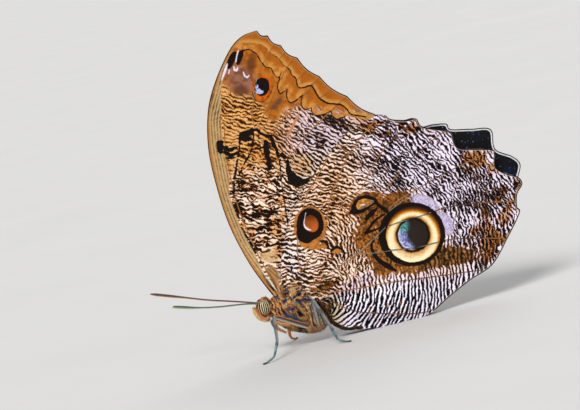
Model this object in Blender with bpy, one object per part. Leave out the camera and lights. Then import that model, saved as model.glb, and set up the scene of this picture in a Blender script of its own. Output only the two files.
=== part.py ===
"""Owl butterfly at rest, life size, with its wings closed over its back.

The head looks along -X and the left wings face -Y. The feet and the lower edges of the hindwings stand on
z = 0, and the origin is under the middle of the whole length. Lengths below are in millimetres, and each
mesh is written in metres. A point with two numbers lies in the wing plane and gives x and z.
"""

import math

import bmesh
import bpy
import numpy as np
from mathutils import Vector
from mathutils.geometry import delaunay_2d_cdt

MM = 0.001
GAP = 0.3

# Membrane and veins
MEMBRANE = 0.5
VEIN_HEIGHT = 0.36
VEIN_HALF_WIDTH = 0.55
VEIN_STEP = 4.5
MARGIN_STEP = 2.6
MESH_STEP = 7.0
CLEAR_OF_LINES = 2.4

# How far each wing's middle surface stands from the body's plane of symmetry
FORE_STAND_OFF = 0.65
HIND_STAND_OFF = 1.25
HIND_OVER_FORE = 0.65
ROOT_BULGE = 1.6
ROOT_BULGE_RADIUS = 9.0
ABDOMEN_BULGE = 2.15
ABDOMEN_BULGE_RADIUS = 6.5
OVERLAP_FADE = 9.0

# Forewing outline
FORE_ROOT = (-18.9, 15.0)
FORE_COSTA = [
    (-20.7, 12.6), (-21.6, 14.4), (-23.1, 17.0), (-26.8, 25.5), (-29.8, 36.7), (-30.9, 48.5), (-30.7, 58.5),
    (-28.5, 68.2), (-24.7, 75.5), (-19.3, 82.5), (-15.3, 85.3),
]
FORE_APEX = (-11.1, 86.0)
FORE_MARGIN = [
    (-8.5, 84.0), (-5.6, 80.7), (-1.9, 76.4), (2.9, 70.2), (9.2, 63.2), (15.5, 56.8), (21.1, 47.6),
]
FORE_SCALLOP = 0.75
FORE_INNER = [(12.6, 39.0), (0.1, 30.0), (-9.9, 21.5), (-14.9, 15.6), (-15.9, 12.6)]

# Hindwing outline
HIND_COSTA = [
    (-16.9, 11.6), (-18.3, 14.2), (-19.5, 16.4), (-19.9, 19.0), (-18.3, 24.9), (-14.5, 33.2), (-9.4, 40.0),
    (-3.3, 45.8), (2.9, 51.0), (8.1, 54.3), (15.0, 56.3),
]
HIND_TIP = [(18.0, 56.0), (19.4, 54.5), (23.3, 53.2), (26.3, 53.0), (27.7, 50.4)]
HIND_OUTER_WHOLE = [
    (31.1, 50.2), (34.8, 49.5), (35.7, 47.8), (41.1, 46.6), (46.6, 45.2), (46.7, 39.7),
    (51.0, 36.6), (52.7, 34.0), (51.3, 30.6),
]
HIND_OUTER_WORN = [
    (34.5, 47.5), (35.3, 44.4), (36.8, 42.2), (44.9, 40.1), (45.7, 38.6), (45.2, 35.0),
    (47.8, 32.6), (50.7, 31.0), (51.5, 28.9),
]
HIND_LOWER = [
    (49.5, 26.5), (48.7, 23.1), (49.1, 21.4), (44.5, 15.6), (38.6, 9.3), (31.6, 6.6), (24.8, 3.5),
    (19.9, 1.0),
]
HIND_REST = [(16.5, 0.0), (4.6, 0.0)]
HIND_INNER = [(-1.2, 1.0), (-5.8, 2.0), (-8.8, 4.8), (-10.1, 8.6), (-11.3, 10.8), (-13.3, 11.5)]

# Forewing veins: the cell's two long sides, the vein that closes it, and the branches to the margin
FORE_VEINS = [
    [(-20.9, 19.0), (-25.1, 33.0), (-24.7, 48.0), (-21.5, 58.6), (-17.3, 62.6)],
    [(-18.1, 19.0), (-15.3, 29.0), (-14.0, 39.9), (-13.0, 49.4), (-13.7, 57.3)],
    [(-21.5, 58.6), (-16.9, 59.6), (-13.7, 57.3)],
    [(-22.5, 22.0), (-27.5, 37.0), (-28.5, 50.0), (-27.9, 60.5)],
    [(-21.5, 58.6), (-24.1, 68.6), (-20.8, 77.4), (-14.9, 84.0)],
    [(-17.3, 62.6), (-15.9, 72.0), (-9.5, 82.2)],
    [(-15.5, 60.9), (-9.9, 70.0), (-2.5, 75.8)],
    [(-13.7, 57.3), (-7.1, 62.7), (-0.4, 67.7), (2.3, 69.8)],
    [(-13.0, 49.4), (-5.3, 54.5), (3.6, 60.2), (8.6, 63.0)],
    [(-14.3, 38.0), (-3.9, 43.0), (7.1, 50.5), (14.5, 56.0)],
    [(-16.9, 18.6), (-8.9, 27.0), (5.1, 37.6), (19.7, 47.0)],
]
# Hindwing veins, from the front edge to the body
HIND_VEINS = [
    [(-14.9, 18.2), (-13.9, 25.0), (-11.6, 32.5), (-7.3, 40.0), (-3.1, 44.2)],
    [(-14.1, 17.4), (-11.3, 22.4), (-4.9, 29.7), (-1.7, 37.9), (3.7, 45.2), (10.5, 51.9), (15.7, 54.8)],
    [(-1.7, 37.9), (6.9, 37.8), (13.5, 45.0), (20.1, 50.0), (25.7, 52.2)],
    [(2.3, 36.2), (11.1, 34.4), (20.8, 41.5), (28.1, 45.6), (33.5, 46.9)],
    [(-10.6, 16.1), (1.1, 20.4), (11.2, 26.2), (17.1, 32.6), (25.7, 35.3), (32.4, 37.1), (44.1, 38.6)],
    [(10.1, 25.4), (15.8, 26.7), (27.9, 27.5), (39.1, 26.4), (48.1, 25.0)],
    [(0.2, 20.0), (11.4, 19.8), (25.5, 18.8), (35.1, 17.2), (42.7, 14.8)],
    [(-9.9, 13.2), (1.5, 12.1), (12.1, 11.2), (23.3, 9.9), (35.1, 8.9)],
    [(-8.3, 9.0), (-1.3, 5.9), (4.8, 3.6), (13.1, 2.2), (18.5, 2.0)],
]

# Body
THORAX_FRONT = (-23.8, 12.6)
THORAX_REAR = (-8.2, 6.8)
THORAX_HALF_WIDTH = 4.2
THORAX_HALF_HEIGHT = 6.0
THORAX_DEEPEST = 0.56
ABDOMEN_FRONT = (-11.2, 7.8)
ABDOMEN_REAR = (14.7, 5.2)
ABDOMEN_HALF_WIDTH = 2.35
ABDOMEN_HALF_HEIGHT = 2.7
ABDOMEN_RINGS = 8
RING_FURROW = 0.12
HEAD_CENTRE = (-25.4, 0.0, 12.4)
HEAD_HALF_SIZE = (2.1, 2.2, 2.6)
EYE_CENTRE = (-25.8, 1.75, 12.9)
EYE_HALF_SIZE = (1.55, 1.2, 2.05)
PALP_PATH = [
    (-24.9, 0.9, 10.6), (-25.3, 1.0, 9.4), (-26.8, 1.0, 10.0), (-27.8, 1.0, 11.6), (-28.2, 0.9, 13.1),
]
PALP_RADII = [0.5, 0.66, 0.74, 0.64, 0.3]

# Feelers, which the insect holds a little unlike each other
FEELER_PATHS = {
    "left": [
        (-26.5, -0.7, 14.0), (-31.3, -3.5, 15.3), (-38.4, -7.5, 16.7), (-44.9, -12.5, 18.5),
        (-52.5, -19.0, 21.2),
    ],
    "right": [
        (-26.3, 0.7, 14.0), (-31.9, 5.0, 15.4), (-38.3, 10.0, 16.9), (-44.9, 14.5, 18.9),
        (-52.5, 19.0, 21.2),
    ],
}
FEELER_RADIUS = 0.28
CLUB_RADIUS = 0.46
CLUB_START = 0.76

# Walking legs: hip, knee, ankle, toe root and toe tip
LEGS = {
    "leg_mid_left": [
        (-15.0, -2.2, 4.9), (-24.9, -9.0, 10.9), (-26.1, -13.4, 4.9), (-28.1, -15.0, 1.2),
        (-30.5, -16.2, 0.26),
    ],
    "leg_hind_left": [
        (-12.2, -2.2, 4.6), (-13.5, -8.0, 12.7), (-10.9, -11.8, 5.0), (-9.9, -12.8, 1.2),
        (-7.9, -13.8, 0.26),
    ],
    "leg_mid_right": [
        (-15.0, 2.2, 4.9), (-18.6, 8.2, 4.4), (-18.4, 11.2, 2.4), (-17.9, 12.6, 0.9),
        (-16.7, 14.0, 0.26),
    ],
    "leg_hind_right": [
        (-12.2, 2.2, 4.6), (-11.1, 7.6, 11.4), (-5.9, 10.4, 3.8), (-4.3, 11.4, 1.0),
        (-1.9, 12.6, 0.26),
    ],
}
LEG_RADII = [0.62, 0.5, 0.42, 0.32, 0.3]
LEG_SIDES = 8
TOE_LENGTH = 1.2
KNEE_ROUND = 0.9
# Short forelegs, folded on the chest and not walked on
FORELEG_PATH = [
    (-18.9, 1.9, 6.4), (-21.8, 2.5, 7.2), (-23.6, 2.6, 8.2), (-23.4, 2.4, 6.6), (-21.6, 2.2, 5.0),
]
FORELEG_RADII = [0.55, 0.48, 0.4, 0.34, 0.26]

COLOURS = {
    "wing_scales": (0.42, 0.33, 0.25, 1.0, 0.75),
    "body_fur": (0.30, 0.21, 0.12, 1.0, 0.85),
    "eye": (0.20, 0.13, 0.07, 1.0, 0.15),
    "leg_horn": (0.35, 0.16, 0.06, 1.0, 0.45),
    "feeler_horn": (0.09, 0.05, 0.03, 1.0, 0.45),
}


def clear_scene():
    for old in list(bpy.data.objects):
        bpy.data.objects.remove(old, do_unlink=True)


def material(name):
    red, green, blue, alpha, roughness = COLOURS[name]
    made = bpy.data.materials.get(name) or bpy.data.materials.new(name)
    made.use_nodes = True
    surface = made.node_tree.nodes["Principled BSDF"]
    surface.inputs["Base Color"].default_value = (red, green, blue, alpha)
    surface.inputs["Roughness"].default_value = roughness
    surface.inputs["Metallic"].default_value = 0.0
    return made


def add_object(name, verts, faces, slot, smooth=True):
    """One object from points in millimetres, its faces turned outward."""
    mesh = bpy.data.meshes.new(name)
    mesh.from_pydata([tuple(float(c) * MM for c in v) for v in verts], [], faces)
    shape = bmesh.new()
    shape.from_mesh(mesh)
    bmesh.ops.recalc_face_normals(shape, faces=shape.faces)
    if shape.calc_volume(signed=True) < 0:
        bmesh.ops.reverse_faces(shape, faces=shape.faces)
    shape.to_mesh(mesh)
    shape.free()
    if smooth:
        mesh.shade_smooth()
        mesh.set_sharp_from_angle(angle=math.radians(50))
    mesh.materials.append(material(slot))
    made = bpy.data.objects.new(name, mesh)
    bpy.context.scene.collection.objects.link(made)
    return made


def keep_largest(shape):
    """Drops every loose scrap of a bmesh and keeps its largest closed surface."""
    unseen = set(shape.faces)
    groups = []
    while unseen:
        stack = [unseen.pop()]
        group = []
        while stack:
            face = stack.pop()
            group.append(face)
            for edge in face.edges:
                for other in edge.link_faces:
                    if other in unseen:
                        unseen.remove(other)
                        stack.append(other)
        groups.append(group)
    groups.sort(key=lambda group: sum(face.calc_area() for face in group))
    for group in groups[:-1]:
        bmesh.ops.delete(shape, geom=group, context="FACES")


def cut(piece, cutters):
    """Takes the cutters' room out of a piece for good."""
    for cutter in cutters:
        step = piece.modifiers.new("cut", "BOOLEAN")
        step.operation = "DIFFERENCE"
        step.solver = "EXACT"
        step.object = cutter
    bpy.context.view_layer.update()
    ready = piece.evaluated_get(bpy.context.evaluated_depsgraph_get())
    shape = bmesh.new()
    shape.from_mesh(ready.to_mesh())
    ready.to_mesh_clear()
    keep_largest(shape)
    piece.modifiers.clear()
    shape.to_mesh(piece.data)
    shape.free()


def cutter_of(name, verts, faces):
    """The room round a piece, which is cut out of its neighbours."""
    made = add_object(name, verts, faces, "body_fur", smooth=False)
    made.hide_render = True
    made.display_type = "WIRE"
    return made


def smooth_path(points, step):
    """Points along a curve through the given points, about one step apart, with both ends kept."""
    knots = np.array(points, float)
    padded = np.vstack([2 * knots[0] - knots[1], knots, 2 * knots[-1] - knots[-2]])
    path = [knots[0]]
    for i in range(len(knots) - 1):
        a, b, c, d = padded[i : i + 4]
        count = max(1, round(float(np.linalg.norm(c - b)) / step))
        for j in range(1, count + 1):
            t = j / count
            bend = 2 * a - 5 * b + 4 * c - d
            twist = 3 * b - a - 3 * c + d
            path.append(0.5 * (2 * b + (c - a) * t + bend * t**2 + twist * t**3))
    return np.array(path)


def distance_to_path(spots, path):
    """Distance from each spot to a polyline, and how far along it the nearest place is, from 0 to 1."""
    spots = np.asarray(spots, float)
    best = np.full(len(spots), 1e9)
    where = np.zeros(len(spots))
    for i in range(len(path) - 1):
        a, b = path[i], path[i + 1]
        t = np.clip((spots - a) @ (b - a) / max((b - a) @ (b - a), 1e-12), 0, 1)
        away = np.linalg.norm(spots - a - t[:, None] * (b - a), axis=1)
        closer = away < best
        best[closer] = away[closer]
        where[closer] = (i + t[closer]) / (len(path) - 1)
    return best, where


def ellipsoid(centre, half_size, around, along, grow=0.0):
    """Points and faces of an ellipsoid with its poles at the top and bottom."""
    half = np.array(half_size) + grow
    verts = [np.array(centre) + half * (0, 0, 1)]
    for i in range(1, along):
        polar = math.pi * i / along
        for j in range(around):
            turn = 2 * math.pi * j / around
            unit = (math.sin(polar) * math.cos(turn), math.sin(polar) * math.sin(turn), math.cos(polar))
            verts.append(np.array(centre) + half * unit)
    verts.append(np.array(centre) - half * (0, 0, 1))
    return verts, ring_faces(along - 1, around, len(verts) - 1)


def ring_faces(rings, around, last):
    """Faces over rings of points, with point 0 before the first ring and one last point after them."""
    faces = []
    for j in range(around):
        faces.append((0, 1 + j, 1 + (j + 1) % around))
        tail = 1 + (rings - 1) * around
        faces.append((last, tail + (j + 1) % around, tail + j))
    for i in range(rings - 1):
        for j in range(around):
            a = 1 + i * around + j
            b = 1 + i * around + (j + 1) % around
            faces.append((a, a + around, b + around, b))
    return faces


def spindle(front, rear, half_width, half_height, profile, rings, around, grow=0.0):
    """A body of oval rings between two points of the plane of symmetry, sized by profile(t)."""
    start = np.array((front[0], 0.0, front[1]))
    end = np.array((rear[0], 0.0, rear[1]))
    axis = (end - start) / np.linalg.norm(end - start)
    up = np.cross(axis, (0.0, 1.0, 0.0))
    up = up if up[2] > 0 else -up
    start = start - axis * grow
    end = end + axis * grow
    verts = [start]
    for i in range(1, rings + 1):
        t = (1 - math.cos(math.pi * i / (rings + 1))) / 2
        size = profile(t)
        centre = start + (end - start) * t
        for j in range(around):
            turn = 2 * math.pi * j / around
            wide = (half_width * size + grow) * math.cos(turn)
            high = (half_height * size + grow) * math.sin(turn)
            verts.append(centre + np.array((0.0, wide, 0.0)) + up * high)
    verts.append(end)
    return verts, ring_faces(rings, around, len(verts) - 1)


def thorax_profile(t):
    """A deep hip behind and a slimmer shoulder in front."""
    share = t ** (math.log(0.5) / math.log(THORAX_DEEPEST))
    return (1 - abs(2 * share - 1) ** 2.8) ** 0.5


def abdomen_profile(t):
    taper = min(1.0, (1 - t) / 0.3) ** 0.6
    furrow = RING_FURROW / ABDOMEN_HALF_WIDTH * abs(math.cos(math.pi * ABDOMEN_RINGS * t)) ** 6
    return taper * (0.98 - furrow) * min(1.0, t / 0.08) ** 0.5


def thorax_shape(grow=0.0):
    return spindle(
        THORAX_FRONT, THORAX_REAR, THORAX_HALF_WIDTH, THORAX_HALF_HEIGHT, thorax_profile, 11, 20, grow
    )


def tube(path, radii, sides, floor=None):
    """A closed round tube along a path. With floor given, it is cut off flat at that height."""
    path = np.asarray(path, float)
    verts = []
    side = np.array((0.0, 1.0, 0.0))
    for i in range(len(path)):
        ahead = path[min(i + 1, len(path) - 1)] - path[max(i - 1, 0)]
        ahead = ahead / np.linalg.norm(ahead)
        side = side - ahead * (side @ ahead)
        side = side / np.linalg.norm(side)
        other = np.cross(ahead, side)
        if i == 0:
            verts.append(path[0] - ahead * radii[0] * 0.6)
        for j in range(sides):
            turn = 2 * math.pi * j / sides
            verts.append(path[i] + radii[i] * (math.cos(turn) * side + math.sin(turn) * other))
        if i == len(path) - 1:
            verts.append(path[i] + ahead * radii[i] * 0.6)
    if floor is not None:
        verts = [np.array((v[0], v[1], max(v[2], floor))) for v in verts]
    return verts, ring_faces(len(path), sides, len(verts) - 1)


def scalloped(points, depth):
    """Runs between vein ends, each hollowed towards the body by a shallow bow."""
    row = [points[0]]
    for a, b in zip(points, points[1:]):
        a, b = np.array(a), np.array(b)
        inward = np.array((-(b - a)[1], (b - a)[0]))
        inward = -inward / np.linalg.norm(inward)
        for t in (0.25, 0.5, 0.75):
            row.append(tuple(a + (b - a) * t + inward * depth * math.sin(math.pi * t)))
        row.append(tuple(b))
    return row


def fore_outline():
    margin = scalloped([FORE_APEX] + FORE_MARGIN, FORE_SCALLOP)
    front = smooth_path(FORE_COSTA + [FORE_APEX], MARGIN_STEP * 2)
    inner = smooth_path([FORE_MARGIN[-1]] + FORE_INNER, MARGIN_STEP * 2)
    return [tuple(p) for p in front] + margin[1:] + [tuple(p) for p in inner[1:]]


def hind_outline(outer):
    front = smooth_path(HIND_COSTA, MARGIN_STEP * 1.6)
    lower = smooth_path(HIND_LOWER, MARGIN_STEP)
    inner = smooth_path(HIND_INNER, MARGIN_STEP)
    rows = [tuple(p) for p in front] + HIND_TIP + outer
    return rows + [tuple(p) for p in lower] + HIND_REST + [tuple(p) for p in inner]


def smooth_step(value, low, high):
    t = np.clip((value - low) / (high - low), 0, 1)
    return t * t * (3 - 2 * t)


def bell(distance, radius):
    return np.exp(-((distance / radius) ** 2))


def root_bulge(spots):
    away = np.linalg.norm(spots - np.array(FORE_ROOT), axis=1)
    return ROOT_BULGE * bell(away, ROOT_BULGE_RADIUS)


def fore_stand_off(spots):
    return FORE_STAND_OFF + root_bulge(spots)


def hind_stand_off(spots):
    """The hindwing lies over the forewing, sinks in beyond it and swells round the abdomen."""
    beyond = np.zeros(len(spots))
    for a, b in ((FORE_INNER[-1], FORE_MARGIN[-1]), (FORE_MARGIN[-1], FORE_MARGIN[-2])):
        a, b = np.array(a), np.array(b)
        outward = np.array(((b - a)[1], -(b - a)[0])) / np.linalg.norm(b - a)
        beyond = np.maximum(beyond, (spots - a) @ outward)
    over = HIND_OVER_FORE * (1 - smooth_step(beyond, 0, OVERLAP_FADE))
    belly = np.array([(ABDOMEN_FRONT[0] + 4, ABDOMEN_FRONT[1]), ABDOMEN_REAR])
    near_abdomen, _ = distance_to_path(spots, belly)
    swell = ABDOMEN_BULGE * bell(near_abdomen, ABDOMEN_BULGE_RADIUS)
    return HIND_STAND_OFF + over + root_bulge(spots) + swell


def vein_rows(veins):
    """For each vein its smooth path, and the two lines at its feet."""
    rows = []
    for vein in veins:
        path = smooth_path(vein, VEIN_STEP)
        ahead = np.gradient(path, axis=0)
        ahead = ahead / np.linalg.norm(ahead, axis=1)[:, None]
        side = np.stack([-ahead[:, 1], ahead[:, 0]], axis=1)
        share = np.linspace(0, 1, len(path))
        width = VEIN_HALF_WIDTH * (1 - 0.45 * share)
        rows.append((path, path + side * width[:, None], path - side * width[:, None]))
    return rows


def vein_lift(spots, rows):
    """Height of the veins over the membrane at each spot."""
    lift = np.zeros(len(spots))
    for path, _, _ in rows:
        away, share = distance_to_path(spots, path)
        width = VEIN_HALF_WIDTH * (1 - 0.45 * share)
        height = VEIN_HEIGHT * (1 - 0.6 * share)
        lift = np.maximum(lift, height * np.clip(1 - away / width, 0, 1))
    return lift


def inside(spots, outline):
    """True for each spot within the outline."""
    ring = np.array(outline)
    hit = np.zeros(len(spots), bool)
    for (x1, z1), (x2, z2) in zip(ring, np.roll(ring, -1, axis=0)):
        crosses = (z1 > spots[:, 1]) != (z2 > spots[:, 1])
        at = x1 + (spots[:, 1] - z1) * (x2 - x1) / (z2 - z1 if z2 != z1 else 1e-9)
        hit ^= crosses & (spots[:, 0] < at)
    return hit


def fill_points(outline, rows):
    """A sparse three-way grid of points, clear of the margin and of the veins."""
    ring = np.array(outline)
    low, high = ring.min(axis=0), ring.max(axis=0)
    spots = []
    for i, z in enumerate(np.arange(low[1], high[1], MESH_STEP * 0.87)):
        for x in np.arange(low[0] + (i % 2) * MESH_STEP / 2, high[0], MESH_STEP):
            spots.append((x, z))
    spots = np.array(spots)
    free = inside(spots, outline)
    for line in [np.vstack([ring, ring[:1]])] + [row[0] for row in rows]:
        away, _ = distance_to_path(spots, line)
        free &= away > CLEAR_OF_LINES
    return spots[free]


def wing(name, outline, veins, stand_off, side):
    """A wing as one sheet: the same triangles on both faces, with the veins raised on the outer one."""
    rows = vein_rows(veins)
    points = [Vector(p) for p in outline]
    ring = list(range(len(points)))
    edges = []
    for row in rows:
        for line in row:
            kept = line[inside(line, outline)]
            start = len(points)
            points += [Vector(p) for p in kept]
            edges += [(start + i, start + i + 1) for i in range(len(kept) - 1)]
    points += [Vector(p) for p in fill_points(outline, rows)]
    flat, _, triangles, _, _, _ = delaunay_2d_cdt(points, edges, [ring], 1, 0.02)
    spots = np.array([(p.x, p.y) for p in flat])
    middle = stand_off(spots)
    lift = vein_lift(spots, rows)
    count = len(spots)
    outer = [(x, side * (m + MEMBRANE / 2 + h), z) for (x, z), m, h in zip(spots, middle, lift)]
    inner = [(x, side * (m - MEMBRANE / 2), z) for (x, z), m in zip(spots, middle)]
    faces = [tuple(t) for t in triangles]
    rim = {}
    for a, b, c in faces:
        for edge in ((a, b), (b, c), (c, a)):
            rim[edge] = edge[::-1]
    faces += [(c + count, b + count, a + count) for a, b, c in triangles]
    for a, b in [edge for edge, back in rim.items() if back not in rim]:
        faces += [(b, a, a + count), (b, a + count, b + count)]
    return add_object(name, outer + inner, faces, "wing_scales", smooth=False)


def add_wings():
    made = []
    for side, word, outer in ((-1, "left", HIND_OUTER_WORN), (1, "right", HIND_OUTER_WHOLE)):
        made.append(wing("wing_fore_" + word, fore_outline(), FORE_VEINS, fore_stand_off, side))
        made.append(wing("wing_hind_" + word, hind_outline(outer), HIND_VEINS, hind_stand_off, side))
    return made


def add_body():
    thorax = add_object("thorax", *thorax_shape(), "body_fur")
    abdomen_shape = spindle(
        ABDOMEN_FRONT, ABDOMEN_REAR, ABDOMEN_HALF_WIDTH, ABDOMEN_HALF_HEIGHT, abdomen_profile, 33, 14
    )
    abdomen = add_object("abdomen", *abdomen_shape, "body_fur")
    head = add_object("head", *ellipsoid(HEAD_CENTRE, HEAD_HALF_SIZE, 18, 12), "body_fur")
    return thorax, abdomen, head


def mirrored(point, side):
    return (point[0], point[1] * side, point[2])


def add_eyes():
    made = []
    for side, word in ((-1, "left"), (1, "right")):
        shape = ellipsoid(mirrored(EYE_CENTRE, side), EYE_HALF_SIZE, 16, 12)
        made.append(add_object("eye_" + word, *shape, "eye"))
    return made


def eye_cutters():
    made = []
    for side in (-1, 1):
        shape = ellipsoid(mirrored(EYE_CENTRE, side), EYE_HALF_SIZE, 16, 12, GAP)
        made.append(cutter_of("eye_room", *shape))
    return made


def add_palps():
    made = []
    for side, word in ((-1, "left"), (1, "right")):
        knots = [mirrored(p, side) for p in PALP_PATH]
        path = smooth_path(knots, 0.8)
        radii = np.interp(np.linspace(0, 1, len(path)), np.linspace(0, 1, len(PALP_RADII)), PALP_RADII)
        made.append(add_object("palp_" + word, *tube(path, radii, 8), "body_fur"))
    return made


def feeler_radius(share):
    """A slim shaft that thickens gently into the club and rounds off at its tip."""
    swell = smooth_step(share, CLUB_START - 0.14, CLUB_START + 0.1)
    tip = np.clip((1 - share) / 0.06, 0.3, 1) ** 0.5
    return (FEELER_RADIUS + (CLUB_RADIUS - FEELER_RADIUS) * swell) * tip


def add_feelers():
    made = []
    for word, knots in FEELER_PATHS.items():
        path = smooth_path(knots, 2.0)
        radii = feeler_radius(np.linspace(0, 1, len(path)))
        made.append(add_object("antenna_" + word, *tube(path, radii, 8), "feeler_horn"))
    return made


def leg_path(joints):
    """Straight lengths between the joints, with each bend rounded by three close points."""
    joints = [np.array(p, float) for p in joints]
    path = [joints[0]]
    shares = [0.0]
    for i in range(1, len(joints) - 1):
        before = joints[i] - joints[i - 1]
        after = joints[i + 1] - joints[i]
        enter = joints[i] - before / np.linalg.norm(before) * KNEE_ROUND
        leave = joints[i] + after / np.linalg.norm(after) * KNEE_ROUND
        path += [enter, (enter + leave) / 4 + joints[i] / 2, leave]
        shares += [i - 0.1, float(i), i + 0.1]
    path.append(joints[-1])
    shares.append(len(joints) - 1.0)
    return path, np.interp(shares, range(len(LEG_RADII)), LEG_RADII)


def add_walking_legs():
    made = []
    for name, joints in LEGS.items():
        path, radii = leg_path(joints)
        ahead = np.array(joints[-1]) - np.array(joints[-2])
        ahead[2] = 0
        path.append(path[-1] + ahead / np.linalg.norm(ahead) * TOE_LENGTH)
        radii = np.append(radii, LEG_RADII[-1])
        made.append(add_object(name, *tube(path, radii, LEG_SIDES, floor=0.0), "leg_horn"))
    return made


def add_forelegs():
    made = []
    for side, word in ((-1, "left"), (1, "right")):
        path = smooth_path([mirrored(p, side) for p in FORELEG_PATH], 0.9)
        shares = np.linspace(0, len(FORELEG_RADII) - 1, len(path))
        radii = np.interp(shares, range(len(FORELEG_RADII)), FORELEG_RADII)
        made.append(add_object("leg_fore_" + word, *tube(path, radii, LEG_SIDES), "leg_horn"))
    return made


def main():
    clear_scene()
    thorax, abdomen, head = add_body()
    wings = add_wings()
    add_eyes()
    palps = add_palps()
    feelers = add_feelers()
    legs = add_walking_legs() + add_forelegs()
    chest_room = cutter_of("chest_room", *thorax_shape(GAP))
    head_room = cutter_of("head_room", *ellipsoid(HEAD_CENTRE, HEAD_HALF_SIZE, 18, 12, GAP))
    eye_rooms = eye_cutters()
    for piece in wings + legs + [abdomen]:
        cut(piece, [chest_room])
    cut(head, [chest_room] + eye_rooms)
    for piece in palps + feelers:
        cut(piece, [head_room] + eye_rooms)
    for guide in [chest_room, head_room] + eye_rooms:
        bpy.data.objects.remove(guide, do_unlink=True)


main()
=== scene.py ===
# %% [markdown]
# # An owl butterfly at rest, life size
#
# The butterfly stands on a level floor with its four wings held together over its back. What shows is
# the underside of the wings: fine wavy lines, a toothed orange band and the great eyespot.
# The solids already give every piece its true size and place. This lesson dresses them: each wing gets
# a thin sheet with veins and painted scales, the body gets a furry skin, and the eyes, legs and feelers
# get their small parts. Lengths are in millimetres until a mesh is made.

# %% Load the solids
import math
import bpy
import numpy as np
from mathutils import Matrix, Vector
from mathutils.kdtree import KDTree
from mathutils.geometry import delaunay_2d_cdt


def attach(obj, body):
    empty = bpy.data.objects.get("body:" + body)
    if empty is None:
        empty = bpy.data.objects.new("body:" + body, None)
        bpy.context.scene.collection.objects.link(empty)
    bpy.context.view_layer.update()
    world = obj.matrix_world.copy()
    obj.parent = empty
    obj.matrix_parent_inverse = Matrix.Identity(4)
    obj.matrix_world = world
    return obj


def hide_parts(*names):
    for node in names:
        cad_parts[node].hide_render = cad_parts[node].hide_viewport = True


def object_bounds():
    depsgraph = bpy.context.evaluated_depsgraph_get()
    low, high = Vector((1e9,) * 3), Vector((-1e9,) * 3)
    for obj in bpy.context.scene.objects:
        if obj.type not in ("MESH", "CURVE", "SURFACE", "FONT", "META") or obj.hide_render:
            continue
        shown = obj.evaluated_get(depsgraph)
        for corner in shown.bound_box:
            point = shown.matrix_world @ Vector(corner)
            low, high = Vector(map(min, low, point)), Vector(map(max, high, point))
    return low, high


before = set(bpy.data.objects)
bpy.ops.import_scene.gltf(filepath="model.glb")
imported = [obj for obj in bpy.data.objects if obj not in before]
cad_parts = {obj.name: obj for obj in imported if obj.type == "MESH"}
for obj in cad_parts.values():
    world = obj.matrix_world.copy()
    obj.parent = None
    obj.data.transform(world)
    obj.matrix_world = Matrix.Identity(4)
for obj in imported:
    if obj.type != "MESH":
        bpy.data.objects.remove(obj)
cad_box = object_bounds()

MM = 0.001
print("nodes", len(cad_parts), "box in mm", [round(float(v) / MM, 1) for v in np.ravel(cad_box)])

# %% [markdown]
# ## The view
# A long lens far from a small thing keeps its proportions calm. The photographer stood a little to the
# tail side and a little above, and the butterfly leaned on its perch. On a level floor the camera rolls
# by that lean instead, so the wings stand in the picture as they did there.

# %% Camera
PICTURE_WIDTH = 580
PIXEL_SIZE = 0.27
VIEW_TURN = math.radians(-10)
VIEW_RISE = math.radians(6)
VIEW_ROLL = math.radians(12.5)
VIEW_DISTANCE = 900.0
VIEW_TARGET = np.array((-12.44, 0.0, 38.07))
SENSOR_WIDTH = 36.0


def add_camera():
    level = np.array((math.cos(VIEW_TURN), math.sin(VIEW_TURN), 0.0))
    back = np.array((
        math.sin(VIEW_TURN) * math.cos(VIEW_RISE),
        -math.cos(VIEW_TURN) * math.cos(VIEW_RISE),
        math.sin(VIEW_RISE),
    ))
    upright = np.cross(back, level)
    right = level * math.cos(VIEW_ROLL) - upright * math.sin(VIEW_ROLL)
    up = level * math.sin(VIEW_ROLL) + upright * math.cos(VIEW_ROLL)
    lens = bpy.data.cameras.new("view")
    lens.sensor_width = SENSOR_WIDTH
    lens.lens = SENSOR_WIDTH * VIEW_DISTANCE / (PIXEL_SIZE * PICTURE_WIDTH)
    camera = bpy.data.objects.new("view", lens)
    bpy.context.scene.collection.objects.link(camera)
    turn = Matrix((right, up, back)).transposed().to_4x4()
    camera.matrix_world = Matrix.Translation(Vector((VIEW_TARGET + back * VIEW_DISTANCE) * MM)) @ turn
    bpy.context.scene.camera = camera
    return camera


camera = add_camera()
print("lens in mm", round(camera.data.lens, 1))

# %% [markdown]
# ## Meshes from arrays
# Wings and fur have many thousands of corners, so each piece is made as arrays of points and faces and
# handed to Blender at once. Numbers and colours that belong to a corner are stored with the mesh under
# a name, and the materials read them by that name.

# %% Mesh helpers
def add_piece(name, points, faces, materials, nodes=(), face_material=None):
    """A mesh piece from points in mm. It rides on the butterfly and stands for the solids in nodes."""
    mesh = bpy.data.meshes.new(name)
    mesh.from_pydata((np.asarray(points, float) * MM).tolist(), [], faces)
    for material in materials:
        mesh.materials.append(material)
    if face_material is not None:
        mesh.polygons.foreach_set("material_index", np.asarray(face_material, np.int32))
    mesh.shade_smooth()
    piece = bpy.data.objects.new(name, mesh)
    bpy.context.scene.collection.objects.link(piece)
    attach(piece, "root")
    if nodes:
        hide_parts(*nodes)
    return piece


def store(mesh, name, values):
    """Keep one number, or one colour, for each corner of the mesh."""
    values = np.asarray(values, np.float32)
    if values.ndim == 1:
        layer = mesh.attributes.new(name, "FLOAT", "POINT")
        layer.data.foreach_set("value", values)
    else:
        layer = mesh.attributes.new(name, "FLOAT_COLOR", "POINT")
        whole = np.ones((len(values), 4), np.float32)
        whole[:, :3] = values
        layer.data.foreach_set("color", whole.ravel())


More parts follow.
